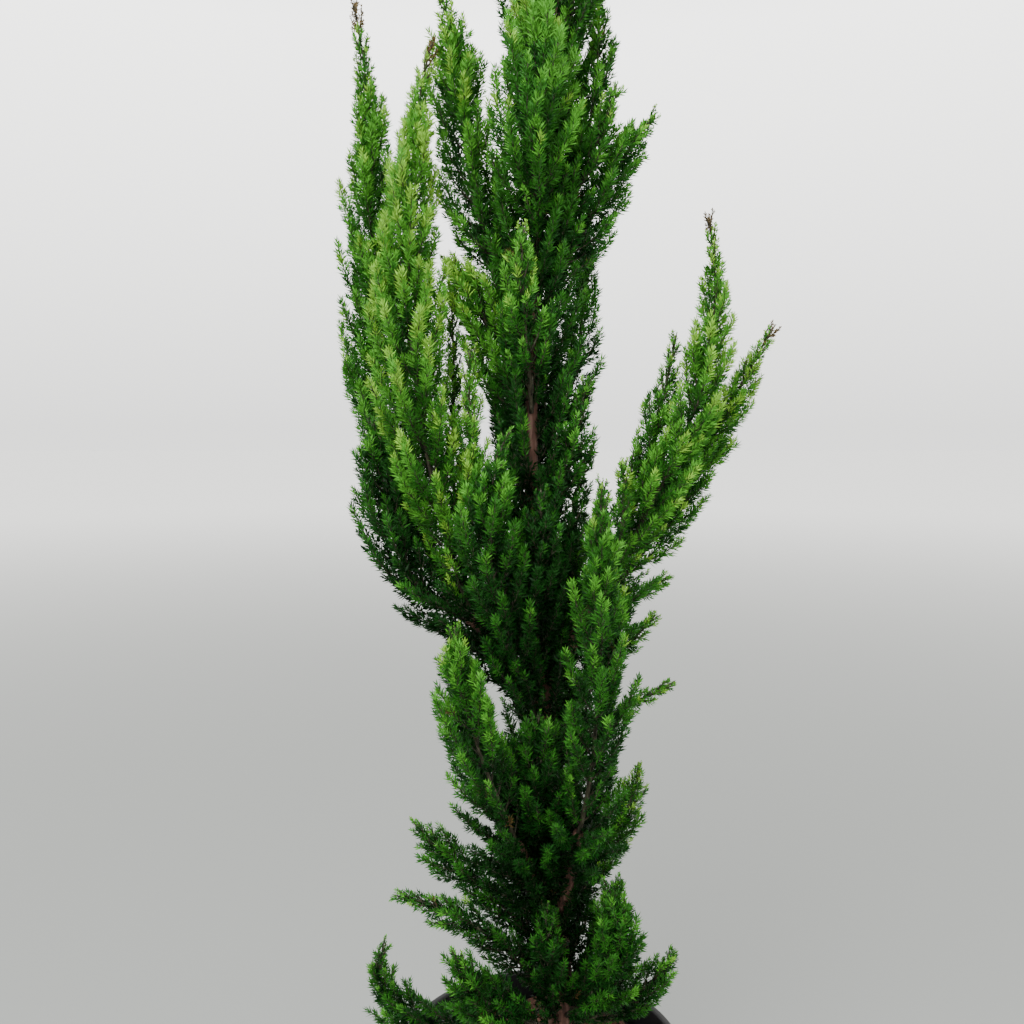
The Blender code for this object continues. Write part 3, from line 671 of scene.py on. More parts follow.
def spike_mesh(bases, axes, long, width, rng):
    """Four faces a twig: a slim closed wedge."""
    flat = flat_of(axes, rng)
    thick = np.cross(axes, flat)
    half = width / 2
    corners = [
        bases + flat * half + thick * half * TWIG_RIDGE,
        bases - flat * half + thick * half * TWIG_RIDGE,
        bases - thick * half * TWIG_KEEL,
        bases + axes * long[:, None],
    ]
    faces = np.array([(0, 2, 1), (0, 1, 3), (1, 2, 3), (2, 0, 3)])
    return np.stack(corners, axis=1).reshape(-1, 3), for_each(faces, 4, len(bases))


def tube_mesh(paths, radii, sides):
    """Closed tapering tubes along many paths of one length."""
    count, rings = paths.shape[:2]
    side, over = across(unit(np.gradient(paths, axis=1)))
    turn = np.linspace(0, math.tau, sides, endpoint=False)
    out = side[:, :, None] * np.cos(turn)[:, None] + over[:, :, None] * np.sin(turn)[:, None]
    points = (paths[:, :, None] + out * radii[..., None, None]).reshape(-1, 3)
    ring, corner = np.meshgrid(np.arange(rings - 1), np.arange(sides), indexing="ij")
    here, there = ring * sides + corner, ring * sides + (corner + 1) % sides
    walls = np.stack([here, there, there + sides, here, there + sides, here + sides], axis=-1)
    fan = np.array([(0, corner + 1, corner) for corner in range(1, sides - 1)])
    faces = np.concatenate([walls.reshape(-1, 3), fan, fan[:, ::-1] + (rings - 1) * sides])
    return points, for_each(faces, rings * sides, count)


# Pieces.


def finish_piece(obj, material, slot, *nodes):
    """A piece of the object: its finish, what it rides on and the CAD nodes that it stands for."""
    obj.data.materials.clear()
    obj.data.materials.append(material)
    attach(obj, BODY)
    if nodes:
        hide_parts(*nodes)
    return obj


def link_object(name, data):
    obj = bpy.data.objects.new(name, data)
    bpy.context.scene.collection.objects.link(obj)
    return obj


def link_bmesh(name, bm, smooth=True):
    mesh = bpy.data.meshes.new(name)
    bm.to_mesh(mesh)
    bm.free()
    if smooth:
        mesh.shade_smooth()
    return link_object(name, mesh)


def link_arrays(name, points, faces):
    """An object from arrays of points and triangles."""
    mesh = bpy.data.meshes.new(name)
    mesh.vertices.add(len(points))
    mesh.vertices.foreach_set("co", points.astype(np.float32).ravel())
    mesh.loops.add(faces.size)
    mesh.loops.foreach_set("vertex_index", faces.astype(np.int32).ravel())
    mesh.polygons.add(len(faces))
    mesh.polygons.foreach_set("loop_start", np.arange(0, faces.size, 3, dtype=np.int32))
    mesh.update(calc_edges=True)
    return link_object(name, mesh)


def joined(parts):
    """One set of points and triangles from many."""
    points, faces, first = [], [], 0
    for part_points, part_faces in parts:
        points.append(part_points)
        faces.append(part_faces + first)
        first += len(part_points)
    return np.concatenate(points), np.concatenate(faces)


def soften(bm, width, segments):
    """Rounds every edge of a bmesh."""
    bmesh.ops.bevel(
        bm, geom=bm.edges[:], offset=width, segments=segments, profile=0.5, material=-1, affect="EDGES"
    )


def cut_away(obj, bm):
    """Cuts a bmesh out of an object."""
    cutter = link_bmesh("cutter", bm, smooth=False)
    cutter.hide_render = True
    cut = obj.modifiers.new("cut", "BOOLEAN")
    cut.operation = "DIFFERENCE"
    cut.object = cutter
    cut.solver = "EXACT"
    graph = bpy.context.evaluated_depsgraph_get()
    obj.data = bpy.data.meshes.new_from_object(obj.evaluated_get(graph))
    obj.modifiers.clear()
    bpy.data.objects.remove(cutter)


# Materials.

BARK_GRAIN = 260
TWIG_GRAIN = 400
BARK_STRETCH = 0.16
BARK_DARK = 0.35
BARK_PALE = 1.5
BARK_GREY = 0.03


def new_finish(name):
    material = bpy.data.materials.new(name)
    material.use_nodes = True
    return material, material.node_tree, material.node_tree.nodes["Principled BSDF"]


def feed(tree, node, inputs):
    """Links a node's inputs to other nodes' outputs, or sets them to constants."""
    for socket, value in inputs.items():
        if isinstance(value, bpy.types.NodeSocket):
            tree.links.new(value, node.inputs[socket])
        else:
            node.inputs[socket].default_value = value


def add_node(tree, kind, inputs, **values):
    """A node with its settings and its inputs."""
    node = tree.nodes.new(kind)
    for name, value in values.items():
        setattr(node, name, value)
    feed(tree, node, inputs)
    return node


def object_place(tree):
    """Places on the piece, in metres."""
    return add_node(tree, "ShaderNodeTexCoord", {}).outputs["Object"]


def clouds(tree, place, scale, detail):
    inputs = {"Vector": place, "Scale": scale, "Detail": detail}
    return add_node(tree, "ShaderNodeTexNoise", inputs).outputs["Fac"]


def calculated(tree, operation, *terms):
    return add_node(tree, "ShaderNodeMath", dict(enumerate(terms)), operation=operation).outputs[0]


def uneven_tone():
    """Colour that drifts lighter and darker over the surface, as no two leaves or chips are alike."""
    name = "uneven_tone"
    if name in bpy.data.node_groups:
        return bpy.data.node_groups[name]
    group = bpy.data.node_groups.new(name, "ShaderNodeTree")
    inputs = (
        ("Colour", "NodeSocketColor", (0.5, 0.5, 0.5, 1)),
        ("Fine", "NodeSocketFloat", 300),
        ("Broad", "NodeSocketFloat", 30),
        ("Amount", "NodeSocketFloat", 0.5),
    )
    for socket, kind, default in inputs:
        made = group.interface.new_socket(socket, in_out="INPUT", socket_type=kind)
        made.default_value = default
    group.interface.new_socket("Colour", in_out="OUTPUT", socket_type="NodeSocketColor")
    given = add_node(group, "NodeGroupInput", {}).outputs
    place = object_place(group)
    fine = clouds(group, place, given["Fine"], detail=2)
    broad = clouds(group, place, given["Broad"], detail=2)
    drift = calculated(group, "SUBTRACT", calculated(group, "ADD", fine, broad), 1)
    value = calculated(group, "MULTIPLY_ADD", drift, given["Amount"], 1)
    tone = add_node(group, "ShaderNodeHueSaturation", {"Value": value, "Color": given["Colour"]})
    add_node(group, "NodeGroupOutput", {"Colour": tone.outputs["Color"]})
    return group


def toned(tree, colour, fine, broad, amount):
    """A colour made uneven: the scales of its fine and its broad drift, and how much it drifts."""
    inputs = {"Colour": (*colour, 1), "Fine": fine, "Broad": broad, "Amount": amount}
    return add_node(tree, "ShaderNodeGroup", inputs, node_tree=uneven_tone()).outputs["Colour"]


def ramp(tree, value, stops):
    made = add_node(tree, "ShaderNodeValToRGB", {"Fac": value})
    elements = made.color_ramp.elements
    while len(elements) < len(stops):
        elements.new(0.5)
    for element, (position, colour) in zip(elements, stops):
        element.position = position
        element.color = (*colour, 1)
    return made.outputs["Color"]


def bump_from(tree, height, distance, strength):
    inputs = {"Height": height, "Distance": distance, "Strength": strength}
    return add_node(tree, "ShaderNodeBump", inputs).outputs["Normal"]


def needle_finish(name, colour):
    """Matt green that drifts over each shoot and from spray to spray."""
    material, tree, shader = new_finish(name)
    tone = toned(tree, colour, fine=420, broad=45, amount=0.9)
    feed(tree, shader, {"Base Color": tone, "Roughness": 0.48, "Specular IOR Level": 0.15})
    return material


def bark_finish(name, colour, scale):
    """Streaks along the wood: dark in the furrows, pale on the ridges."""
    material, tree, shader = new_finish(name)
    drawn_out = {"Vector": object_place(tree), "Scale": (1, 1, BARK_STRETCH)}
    place = add_node(tree, "ShaderNodeMapping", drawn_out).outputs["Vector"]
    grain = clouds(tree, place, scale, detail=6)
    dark = tuple(BARK_DARK * channel for channel in colour)
    pale = tuple(min(1, BARK_PALE * channel + BARK_GREY) for channel in colour)
    tone = ramp(tree, grain, ((0.34, dark), (0.5, colour), (0.68, pale)))
    relief = bump_from(tree, grain, distance=0.0012, strength=0.7)
    feed(tree, shader, {"Base Color": tone, "Normal": relief, "Roughness": 0.85})
    return material


def plastic_finish(name, colour):
    """Moulded plastic with a little dust and unevenness."""
    material, tree, shader = new_finish(name)
    dust = clouds(tree, object_place(tree), scale=60, detail=5)
    spread = {"Value": dust, "To Min": 0.42, "To Max": 0.62}
    inputs = {
        "Base Color": toned(tree, colour, fine=90, broad=9, amount=0.6),
        "Roughness": add_node(tree, "ShaderNodeMapRange", spread).outputs["Result"],
        "Specular IOR Level": 0.2,
        "Normal": bump_from(tree, dust, distance=0.0004, strength=0.25),
    }
    feed(tree, shader, inputs)
    return material


def mulch_finish(name, colour):
    """Dull, crumbly and uneven, for the mix and for its chips."""
    material, tree, shader = new_finish(name)
    crumbs = clouds(tree, object_place(tree), scale=350, detail=6)
    inputs = {
        "Base Color": toned(tree, colour, fine=220, broad=25, amount=1.4),
        "Roughness": 0.95,
        "Normal": bump_from(tree, crumbs, distance=0.0015, strength=0.8),
    }
    feed(tree, shader, inputs)
    return material


# What a user would change.


def amount(name, description, default, **limits):
    return FloatProperty(name=name, description=description, default=default, **limits)


def length(name, description, default):
    return amount(name, description, default, min=0, unit="LENGTH", precision=4)


def share(name, description, default):
    return amount(name, description, default, min=0, subtype="FACTOR")


def degrees(name, description, default):
    return amount(name, description, default, min=0, max=90)


def colour(name, description, default):
    return FloatVectorProperty(
        name=name, description=description, default=default, min=0, max=1, subtype="COLOR"
    )


class CypressShape(bpy.types.PropertyGroup):
    """How branchlets, shoots and needles grow."""

    bare_stem: length("Bare stem", "Length of stem with no branchlets", 0.006)
    branchlet_spacing: length("Branchlet spacing", "Least distance between branchlets", 0.0044)
    branchlet_spread: share("Branchlet spread", "Distance between branchlets over the fullness", 0.24)
    branchlet_lean: degrees("Branchlet lean", "Angle between stem and branchlet, in degrees", 44)
    branchlet_reach: share("Branchlet reach", "How far they reach, as a share of the fullness", 1.0)
    branchlet_least: length("Shortest branchlet", "Length of the shortest branchlets", 0.012)
    branchlet_most: length("Longest branchlet", "Length of the longest branchlets", 0.080)
    bare_branchlet: share("Bare branchlet", "Share of a branchlet with no shoots", 0.15)
    shoot_spacing: length("Shoot spacing", "Distance between shoots", 0.0032)
    shoot_lean: degrees("Shoot lean", "Angle between branchlet and shoot, in degrees", 42)
    shoot_upturn: share("Shoot upturn", "How far shoots turn up along the stem", 0.30)
    shoot_taper: share("Shoot taper", "How much shorter shoots get towards a branchlet's tip", 0.5)
    shoot_share: share("Shoot length", "Shoot length as a share of the fullness", 0.70)
    shoot_least: length("Shortest shoot", "Length of the shortest shoots", 0.0075)
    shoot_most: length("Longest shoot", "Length of the longest shoots", 0.0150)
    needle_spacing: length("Needle spacing", "Distance between needles", 0.00054)
    needle_lean: degrees("Needle lean", "Angle between shoot and needle, in degrees", 50)
    needle_length: length("Needle length", "Length of the longest needles", 0.0082)
    needle_width: length("Needle width", "Width of a needle", 0.0013)


class CypressColours(bpy.types.PropertyGroup):
    """Plain base colours, dealt out by shoot."""

    # Which shoots take each green follows tone_of, which is partly painted light: the deep and dark
    # greens go partly as painted shade to shoots deep in the plumes, the bright and lime partly as
    # painted light to outer and higher ones.
    deep: colour("Deep green", "Shaded inner foliage", (0.002, 0.021, 0.002))
    dark: colour("Dark green", "Older foliage", (0.0075, 0.053, 0.006))
    mid: colour("Mid green", "Most of the foliage", (0.023, 0.123, 0.011))
    bright: colour("Bright green", "Outer shoots", (0.078, 0.275, 0.026))
    lime: colour("Lime green", "New growth at the tips", (0.205, 0.425, 0.048))
    faded: colour("Faded tips", "Browned tips and old inner shoots", (0.110, 0.075, 0.025))
    stem: colour("Stem", "Green-brown twigs", (0.030, 0.027, 0.010))
    bark: colour("Bark", "Pinkish brown bark", (0.075, 0.031, 0.019))
    pot: colour("Pot", "Black plastic", (0.0045, 0.0045, 0.005))
    mulch: colour("Potting mix", "Moist mix under the bark chips", (0.018, 0.010, 0.007))
    chips: colour("Bark chips", "Reddish brown chips", (0.070, 0.026, 0.013))


class CypressStage(bpy.types.PropertyGroup):
    """The studio round the plant."""

    # The floor's colour runs from the first of these to the second with the distance: painted light, so
    # that the far floor, which the key light hardly reaches, looks as bright as the backdrop.
    floor_colour: colour("Floor", "Pale floor", (0.32, 0.33, 0.32))
    far_painted_light_colour: colour("Far floor", "The floor where it meets the backdrop", (0.98, 0.98, 0.965))
    sky_colour: colour("Backdrop", "Pale backdrop", (1.0, 1.0, 0.98))
    sky_strength: amount("Backdrop light", "Strength of the soft light", 3.65)
    sky_low: share("Low backdrop", "How bright the backdrop's foot is next to its middle", 0.50)
    sky_top: share("Top light", "How bright it is overhead next to the middle", 0.35)
    key_power: amount("Key light", "Power of the light at the front left, in watts", 30)
    eye: FloatVectorProperty(name="Camera", description="Its place", default=(-0.026, -0.82, 0.759))
    tilt: degrees("Camera tilt", "How far the camera looks down, in degrees", 5)
    lens: amount("Lens", "Focal length in mm", 34.56)


class CypressSettings(bpy.types.PropertyGroup):
    """All of the plant's settings."""

    seed: IntProperty(name="Seed", description="Changes every twig and leaf", default=SEED)
    shape: PointerProperty(type=CypressShape)
    colours: PointerProperty(type=CypressColours)
    stage: PointerProperty(type=CypressStage)


# Pot, potting mix and bark.

POT_SEGMENTS = 112
FOOT_HOLLOW = 0.0015
HOLLOW_SHARE = 0.72
FOOT_RING_SHARE = 0.76
COLLAR_ROUND = 0.001
RIM_ROUND = 0.0012
POT_CREASE = 38
SLOT_EDGE = 0.0015
# The bed of mix: how far it clears the pot, and the lumps of its top.
MULCH_RINGS = 26
MULCH_SEGMENTS = 96
MULCH_CLEAR = 0.0008
MULCH_RADIUS = POT_RIM_RADIUS - RIM_WIDTH - POT_WALL - COLLAR_STEP - MULCH_CLEAR
LUMPS = (0.8, 2.1, 3)
LUMP_SCALE = 55
LUMP_RISE = 0.0032
LUMP_MOST = 0.004
LUMP_SINK = 0.001
# The chips: the ranges of their length, width and thickness, and how they lie.
CHIP_COUNT = 420
CHIP_SIZES = ((0.006, 0.019), (0.004, 0.010), (0.0015, 0.0038))
CHIP_EDGE_CLEAR = 0.010
CHIP_INNERMOST = 0.03
CHIP_LIFT = 0.0045
CHIP_TILT = 0.27
CHIP_ROUGHNESS = 0.0009
CHIP_EDGE = 0.0005
# Bark: rings along the wood, furrows drawn out along it, and how far under the solid it lies.
BARK_SIDES = 40
BARK_RING_STEP = 0.0035
BOUGH_RING_STEP = 0.003
FURROWS = (0.9, 2.2, 4)
FURROWS_ROUND = 2.2
FURROWS_ALONG = 26
TRUNK_RELIEF = 0.07
BOUGH_RELIEF = 0.06
BARK_WITHIN = 0.97
BOUGH_FOOT_WIDER = 1.15
MERGED = 0.00001


def turned(profile, segments):
    """A bmesh spun about Z from a profile of (radius, height)."""
    bm = bmesh.new()
    verts = [bm.verts.new((radius, 0, height)) for radius, height in profile]
    edges = [bm.edges.new(pair) for pair in zip(verts, verts[1:])]
    bmesh.ops.spin(
        bm, geom=edges, cent=(0, 0, 0), axis=(0, 0, 1), angle=math.tau, steps=segments, use_merge=True
    )
    bmesh.ops.remove_doubles(bm, verts=bm.verts, dist=MERGED)
    bmesh.ops.recalc_face_normals(bm, faces=bm.faces)
    return bm


def arc(centre, radius, start, end, steps):
    """Points of a profile on an arc, in degrees from outwards towards up."""
    angles = [math.radians(between((start, end), step / steps)) for step in range(steps + 1)]
    return [(centre[0] + radius * math.cos(a), centre[1] + radius * math.sin(a)) for a in angles]


def pot_profile():
    """Floor, wall, collar, rolled rim and the inside."""
    collar = POT_HEIGHT - COLLAR_DEPTH
    under_rim = POT_RIM_RADIUS - RIM_WIDTH
    rim_foot = POT_HEIGHT - RIM_DEPTH
    roll = RIM_WIDTH / 2
    inside = under_rim - POT_WALL
    below_step = under_rim - COLLAR_STEP - COLLAR_ROUND
    return [
        (0, FOOT_HOLLOW),
        (POT_FOOT_RADIUS * HOLLOW_SHARE, FOOT_HOLLOW),
        (POT_FOOT_RADIUS * FOOT_RING_SHARE, 0),
        *arc((POT_FOOT_RADIUS - POT_WALL, POT_WALL), POT_WALL, -90, 0, 4),
        *arc((below_step, collar - COLLAR_STEP), COLLAR_ROUND, -5, 60, 2),
        *arc((under_rim - COLLAR_ROUND, collar), COLLAR_ROUND, -40, 0, 2),
        (under_rim, rim_foot - COLLAR_ROUND),
        *arc((POT_RIM_RADIUS - RIM_ROUND, rim_foot + RIM_ROUND), RIM_ROUND, -90, 0, 4),
        *arc((POT_RIM_RADIUS - roll, POT_HEIGHT - roll), roll, 0, 90, 6),
        *arc((under_rim, POT_HEIGHT - POT_WALL), POT_WALL, 90, 180, 4),
        (inside, collar),
        (inside - COLLAR_STEP, collar - COLLAR_STEP),
        (POT_FOOT_RADIUS - POT_WALL, POT_WALL * 2),
        (0, POT_WALL * 2),
    ]


def drain_slots():
    """The blocks that cut the slots, evenly round the foot of the wall."""
    slots = bmesh.new()
    for number in range(DRAIN_SLOTS):
        turn = Matrix.Rotation(math.tau * (number + 0.5) / DRAIN_SLOTS, 4, "Z")
        place = turn @ Matrix.Translation((POT_FOOT_RADIUS, 0, POT_WALL * 2 + DRAIN_SIZE[2]))
        bmesh.ops.create_cube(slots, size=1, matrix=place @ Matrix.Diagonal((*DRAIN_SIZE, 1)))
    soften(slots, SLOT_EDGE, 2)
    return slots


def make_pot(material):
    """The pot, turned from its profile, with its drain slots cut."""
    pot = link_bmesh("pot_shell", turned(pot_profile(), POT_SEGMENTS))
    cut_away(pot, drain_slots())
    pot.data.set_sharp_from_angle(angle=math.radians(POT_CREASE))
    return finish_piece(pot, material, "black_plastic", "pot")


def make_mulch(material):
    """The mix, which fills the pot and has an uneven top."""
    low = POT_FOOT_RADIUS - POT_WALL - MULCH_CLEAR
    top = [(MULCH_RADIUS * ring / MULCH_RINGS, SOIL_LEVEL) for ring in range(MULCH_RINGS, -1, -1)]
    foot = POT_WALL * 2 + GAP
    profile = [(0, foot), (low, foot), (MULCH_RADIUS, POT_HEIGHT - COLLAR_DEPTH - COLLAR_STEP)]
    bm = turned(profile + top, MULCH_SEGMENTS)
    for vert in bm.verts:
        if vert.co.z > SOIL_LEVEL - GAP:
            lump = noise.fractal(vert.co * LUMP_SCALE, *LUMPS) * LUMP_RISE
            vert.co.z += min(LUMP_MOST, max(-LUMP_MOST, lump)) - LUMP_SINK
    finish_piece(link_bmesh("mulch_bed", bm), material, "potting_mix", "potting_mix")


def make_chips(material, seed):
    """Bark chips strewn over the mix."""
    rng = np.random.default_rng([seed, 1])
    chips = bmesh.new()
    for _ in range(CHIP_COUNT):
        out = (MULCH_RADIUS - CHIP_EDGE_CLEAR) * math.sqrt(rng.uniform(CHIP_INNERMOST, 1))
        heading = rng.uniform(0, math.tau)
        size = [rng.uniform(*sizes) for sizes in CHIP_SIZES]
        level = SOIL_LEVEL + rng.uniform(0, CHIP_LIFT)
        place = Matrix.Translation((out * math.cos(heading), out * math.sin(heading), level))
        turn = Matrix.Rotation(rng.uniform(0, math.tau), 4, "Z")
        for axis in "XY":
            turn = turn @ Matrix.Rotation(rng.normal(0, CHIP_TILT), 4, axis)
        made = bmesh.ops.create_cube(chips, size=1, matrix=place @ turn @ Matrix.Diagonal((*size, 1)))
        for vert in made["verts"]:
            vert.co += Vector(rng.normal(0, CHIP_ROUGHNESS, 3))
    soften(chips, CHIP_EDGE, 1)
    finish_piece(link_bmesh("bark_chips", chips, smooth=False), material, "potting_mix")


def bark_tube(name, points, radii, sides, relief, lobes=None):
    """A tube with furrowed bark: a grid rolled round the centre line, closed at both ends."""
    side, over = frames_along(tangents(points))
    last = len(points) - 1
    bm = bmesh.new()
    grid = bmesh.ops.create_grid(bm, x_segments=sides, y_segments=last, size=0.5)["verts"]
    for vert in grid:
        turn = (vert.co.x + 0.5) * math.tau
        ring = min(last, round((vert.co.y + 0.5) * last))
        out = side[ring] * math.cos(turn) + over[ring] * math.sin(turn)
        height = points[ring][2]
        round_it = Vector((math.cos(turn), math.sin(turn), 0)) * FURROWS_ROUND
        round_it.z = height * FURROWS_ALONG
        furrow = noise.fractal(round_it, *FURROWS)
        radius = radii[ring] * (1 + relief * furrow) + (lobes(height, out) if lobes else 0)
        vert.co = Vector(points[ring] + out * radius)
    bmesh.ops.remove_doubles(bm, verts=bm.verts, dist=MERGED * 2)
    bmesh.ops.holes_fill(bm, edges=[edge for edge in bm.edges if edge.is_boundary], sides=0)
    bmesh.ops.recalc_face_normals(bm, faces=bm.faces)
    return link_bmesh(name, bm)


def flare_lobes(height, out):
    """How far the root flare stands out on a side of the trunk."""
    bearing = math.atan2(out[1], out[0])
    return flare(height) * (1 + FLARE_LOBE_SHARE * math.cos(FLARE_LOBES * bearing))


def make_trunk(material):
    """The leader in its bark, from the mix to its tip."""
    heights = np.arange(TRUNK_FOOT, TRUNK_TOP, BARK_RING_STEP)
    radii = [trunk_radius(height) * BARK_WITHIN for height in heights]
    trunk = bark_tube("trunk_bark", trunk_line(heights), radii, BARK_SIDES, TRUNK_RELIEF, flare_lobes)
    finish_piece(trunk, material, "bark", "trunk")


def make_boughs(material, lines):
    """Each bough in its bark, with its foot inside the trunk."""
    for bough in BOUGHS:
        coarse = lines[bough.name]
        taper = np.linspace(bough.radius, bough.tip_radius, len(coarse))
        points, radii = filled(coarse, taper, BOUGH_RING_STEP)
        inward = points[0] - unit(points[1] - points[0]) * bough.radius
        points = np.concatenate([inward[None], points])
        radii = np.concatenate([radii[:1] * BOUGH_FOOT_WIDER, radii]) * BARK_WITHIN
        shell = bark_tube(bough.name + "_bark", points, radii, BARK_SIDES // 2, BOUGH_RELIEF)
        finish_piece(shell, material, "bark", bough.name)


# Foliage.

TWIG_RADIUS = 0.0010
TWIG_TIP_RADIUS = 0.0004
TWIG_SIDES = 3
STEM_SIDES = 6
INNER_POINTS = 24
# The lengths of trunk, and the boughs, that bear shoots of their own, close round them. Their added
# light is partly their own tone and partly painted shade: below nought for all but column_trunk, it
# darkens the shoots close round the wood as if the plumes outside shaded them.
Inner = namedtuple("Inner", "name foot fullness tip_fullness spread lighter")
INNER = (
    Inner("low_trunk", (0.215, 0.480), 0.055, 0.060, 0.34, -0.25),
    Inner("front_trunk", (0.480, 0.700), 0.062, 0.050, 0.27, -0.34),
    Inner("column_trunk", (0.680, 1.060), 0.048, 0.048, 0.34, 0.02),
    Inner("column_top_trunk", (1.080, 1.215), 0.056, 0.022, 0.30, -0.1),
    Inner("left_bough", "bough_left", 0.046, 0.070, 0.24, -0.2),
    Inner("right_bough", "bough_right", 0.036, 0.032, 0.36, -0.2),
    Inner("front_bough_left", "bough_front_left", 0.050, 0.066, 0.22, -0.22),
    Inner("front_bough_right", "bough_front_right", 0.036, 0.036, 0.30, -0.22),
)
TONES = (("deep", 0.46), ("dark", 0.70), ("mid", 0.98), ("bright", 1.22), ("lime", math.inf))
TONE_NAMES = (*(name for name, _ in TONES), "faded")
# Deep inside, fewer and wider needles do.
DEEP_KEPT = 0.6
# What lightens a shoot: its place up its branchlet, out from the stem and towards the stem's tip.
# Towards the stem's tip it is the paler new growth. Up the branchlet and out from the stem it is partly
# new growth and partly painted shade: shoots deep in a plume are darkened as if shaded by those outside.
LIGHT_LEAST = 0.12
LIGHT_UP = 0.40
LIGHT_OUT = 0.34
LIGHT_TIP = 0.34
LIGHT_NOISE = 0.11
FADED_SHARE = 0.003
FADED_BELOW = 0.5
FADED_TIPS = ("left_tall", "left_inner", "right_middle", "right_outer")
FADED_FROM = 0.95
# Which plumes and stretches, by how their names start, are joined in one set of pieces.
GROUPS = {
    "left": ("left",),
    "right": ("right",),
    "front": ("front",),
    "low": ("low", "skirt"),
    "behind": ("column_back", "back"),
    "column": ("column", "leader"),
}


def group_of(name):
    return next(group for group, starts in GROUPS.items() if name.startswith(starts))


def tone_of(stem, share_up, t, out, rng):
    """Which tone each shoot takes: light at the tips and outside, deep inside, some browned.

    The deep inside is partly painted shade, and each plume's added light partly painted light.
    """
    light = LIGHT_UP * share_up + LIGHT_OUT * out + LIGHT_TIP * t**2 + stem.lighter
    light = LIGHT_LEAST + light + rng.normal(0, LIGHT_NOISE, len(t))
    tone = np.searchsorted([limit for _, limit in TONES], light)
    faded = (rng.uniform(0, 1, len(t)) < FADED_SHARE) & (share_up < FADED_BELOW)
    if stem.name in FADED_TIPS:
        faded |= t > FADED_FROM
    return np.where(faded, len(TONES), tone)


def all_stems(plumes, lines):
    """The plumes' stems, each with the space it keeps to, then lengths of the trunk and the boughs."""
    space = Space(plumes, lines)
    for plume in plumes:
        wide = partial(fullness, plume)
        points = lines[plume.name]
        points = points[: round(len(points) * plume.grown)]
        long = plume.length * plume.grown
        yield Stem(plume, points, long, wide, plume.fuller, 1 / plume.fuller**2), space
    for inner in INNER:
        if inner.foot in lines:
            points = lines[inner.foot]
            long = next(bough.length for bough in BOUGHS if bough.name == inner.foot)
        else:
            points = trunk_line(np.linspace(*inner.foot, INNER_POINTS))
            long = inner.foot[1] - inner.foot[0]
        wide = partial(between, (inner.fullness, inner.tip_fullness))
        stem = Stem(inner, points, long, wide, 1, inner.spread, BEYOND)
        yield stem, Heart(space, stem)


def grow(stem, space, shape, rng):
    """A stem's paths, its shoots, and its needles with the tone of each."""
    paths, path_t = grow_branchlets(stem, space, shape, rng)
    roots, ahead, long, share_up, t, out = grow_shoots(stem, paths, path_t, space, shape, rng)
    which, *needles = grow_needles(roots, ahead, long, t, shape, rng)
    return paths, (roots, ahead, long), needles, tone_of(stem, share_up, t, out, rng)[which]


def needle_meshes(needles, tone, width, rng):
    """The needles of each tone that a stem bears."""
    for index, name in enumerate(TONE_NAMES):
        picked = tone == index
        wide = width
        if name == "deep":
            picked &= rng.uniform(0, 1, len(tone)) < DEEP_KEPT
            wide /= DEEP_KEPT
        if picked.any():
            yield name, needle_mesh(*(column[picked] for column in needles), wide, rng)


def twig_meshes(stem, paths, shoots, on_trunk, rng):
    """A stem's own wood, unless the trunk or a bough is that, its branchlets and its shoots."""
    if not on_trunk:
        line = stem.line[stem.travelled <= stem.length + CELL_STEP][None, ::2]
        radii = np.linspace(STEM_RADIUS, STEM_TIP_RADIUS, line.shape[1])[None]
        yield tube_mesh(line, radii, STEM_SIDES)
    coarse = paths[:, ::2]
    taper = np.linspace(TWIG_RADIUS, TWIG_TIP_RADIUS, coarse.shape[1])
    yield tube_mesh(coarse, np.broadcast_to(taper, coarse.shape[:2]), TWIG_SIDES)
    yield spike_mesh(*shoots, TWIG_RADIUS, rng)


def make_foliage(settings, lines, plumes):
    """A piece of needles for each tone of each group, and a piece of twigs for each group."""
    needles, twigs, members = {}, {}, {}
    for plume in plumes:
        members.setdefault(group_of(plume.name), []).append("foliage_" + plume.name)
    for number, (stem, space) in enumerate(all_stems(plumes, lines)):
        rng = np.random.default_rng([settings.seed, 2, number])
        group = group_of(stem.name)
        paths, shoots, grown, tone = grow(stem, space, settings.shape, rng)
        for name, mesh in needle_meshes(grown, tone, settings.shape.needle_width, rng):
            needles.setdefault((group, name), []).append(mesh)
        on_trunk = stem.name not in lines
        twigs.setdefault(group, []).extend(twig_meshes(stem, paths, shoots, on_trunk, rng))
    colours = settings.colours
    finishes = {name: needle_finish("needles_" + name, getattr(colours, name)) for name in TONE_NAMES}
    for (group, tone), parts in needles.items():
        brush = link_arrays(f"{group}_needles_{tone}", *joined(parts))
        finish_piece(brush, finishes[tone], "foliage", *members[group])
    stem_finish = bark_finish("green_twigs", colours.stem, TWIG_GRAIN)
    for group, parts in twigs.items():
        wood = link_arrays(f"{group}_twigs", *joined(parts))
        finish_piece(wood, stem_finish, "foliage", *members[group])


# Stage.

FLOOR_SIDE = 60
# Where the floor's painted light starts to pale it, and where it is as pale as the backdrop.
FLOOR_NEAR = 0.6
FLOOR_FAR = 9.0
# How far up, as the sine of the elevation, the backdrop is at its foot, brightest and dimmed again.
SKY_LOW = 0.0
SKY_BRIGHT = 0.36
SKY_DIM = 0.72
KEY_PLACE = (-0.45, -0.95, 1.95)
KEY_AIM = (0, 0, 0.75)
KEY_SIZE = 0.6
NEAREST_SEEN = 0.01


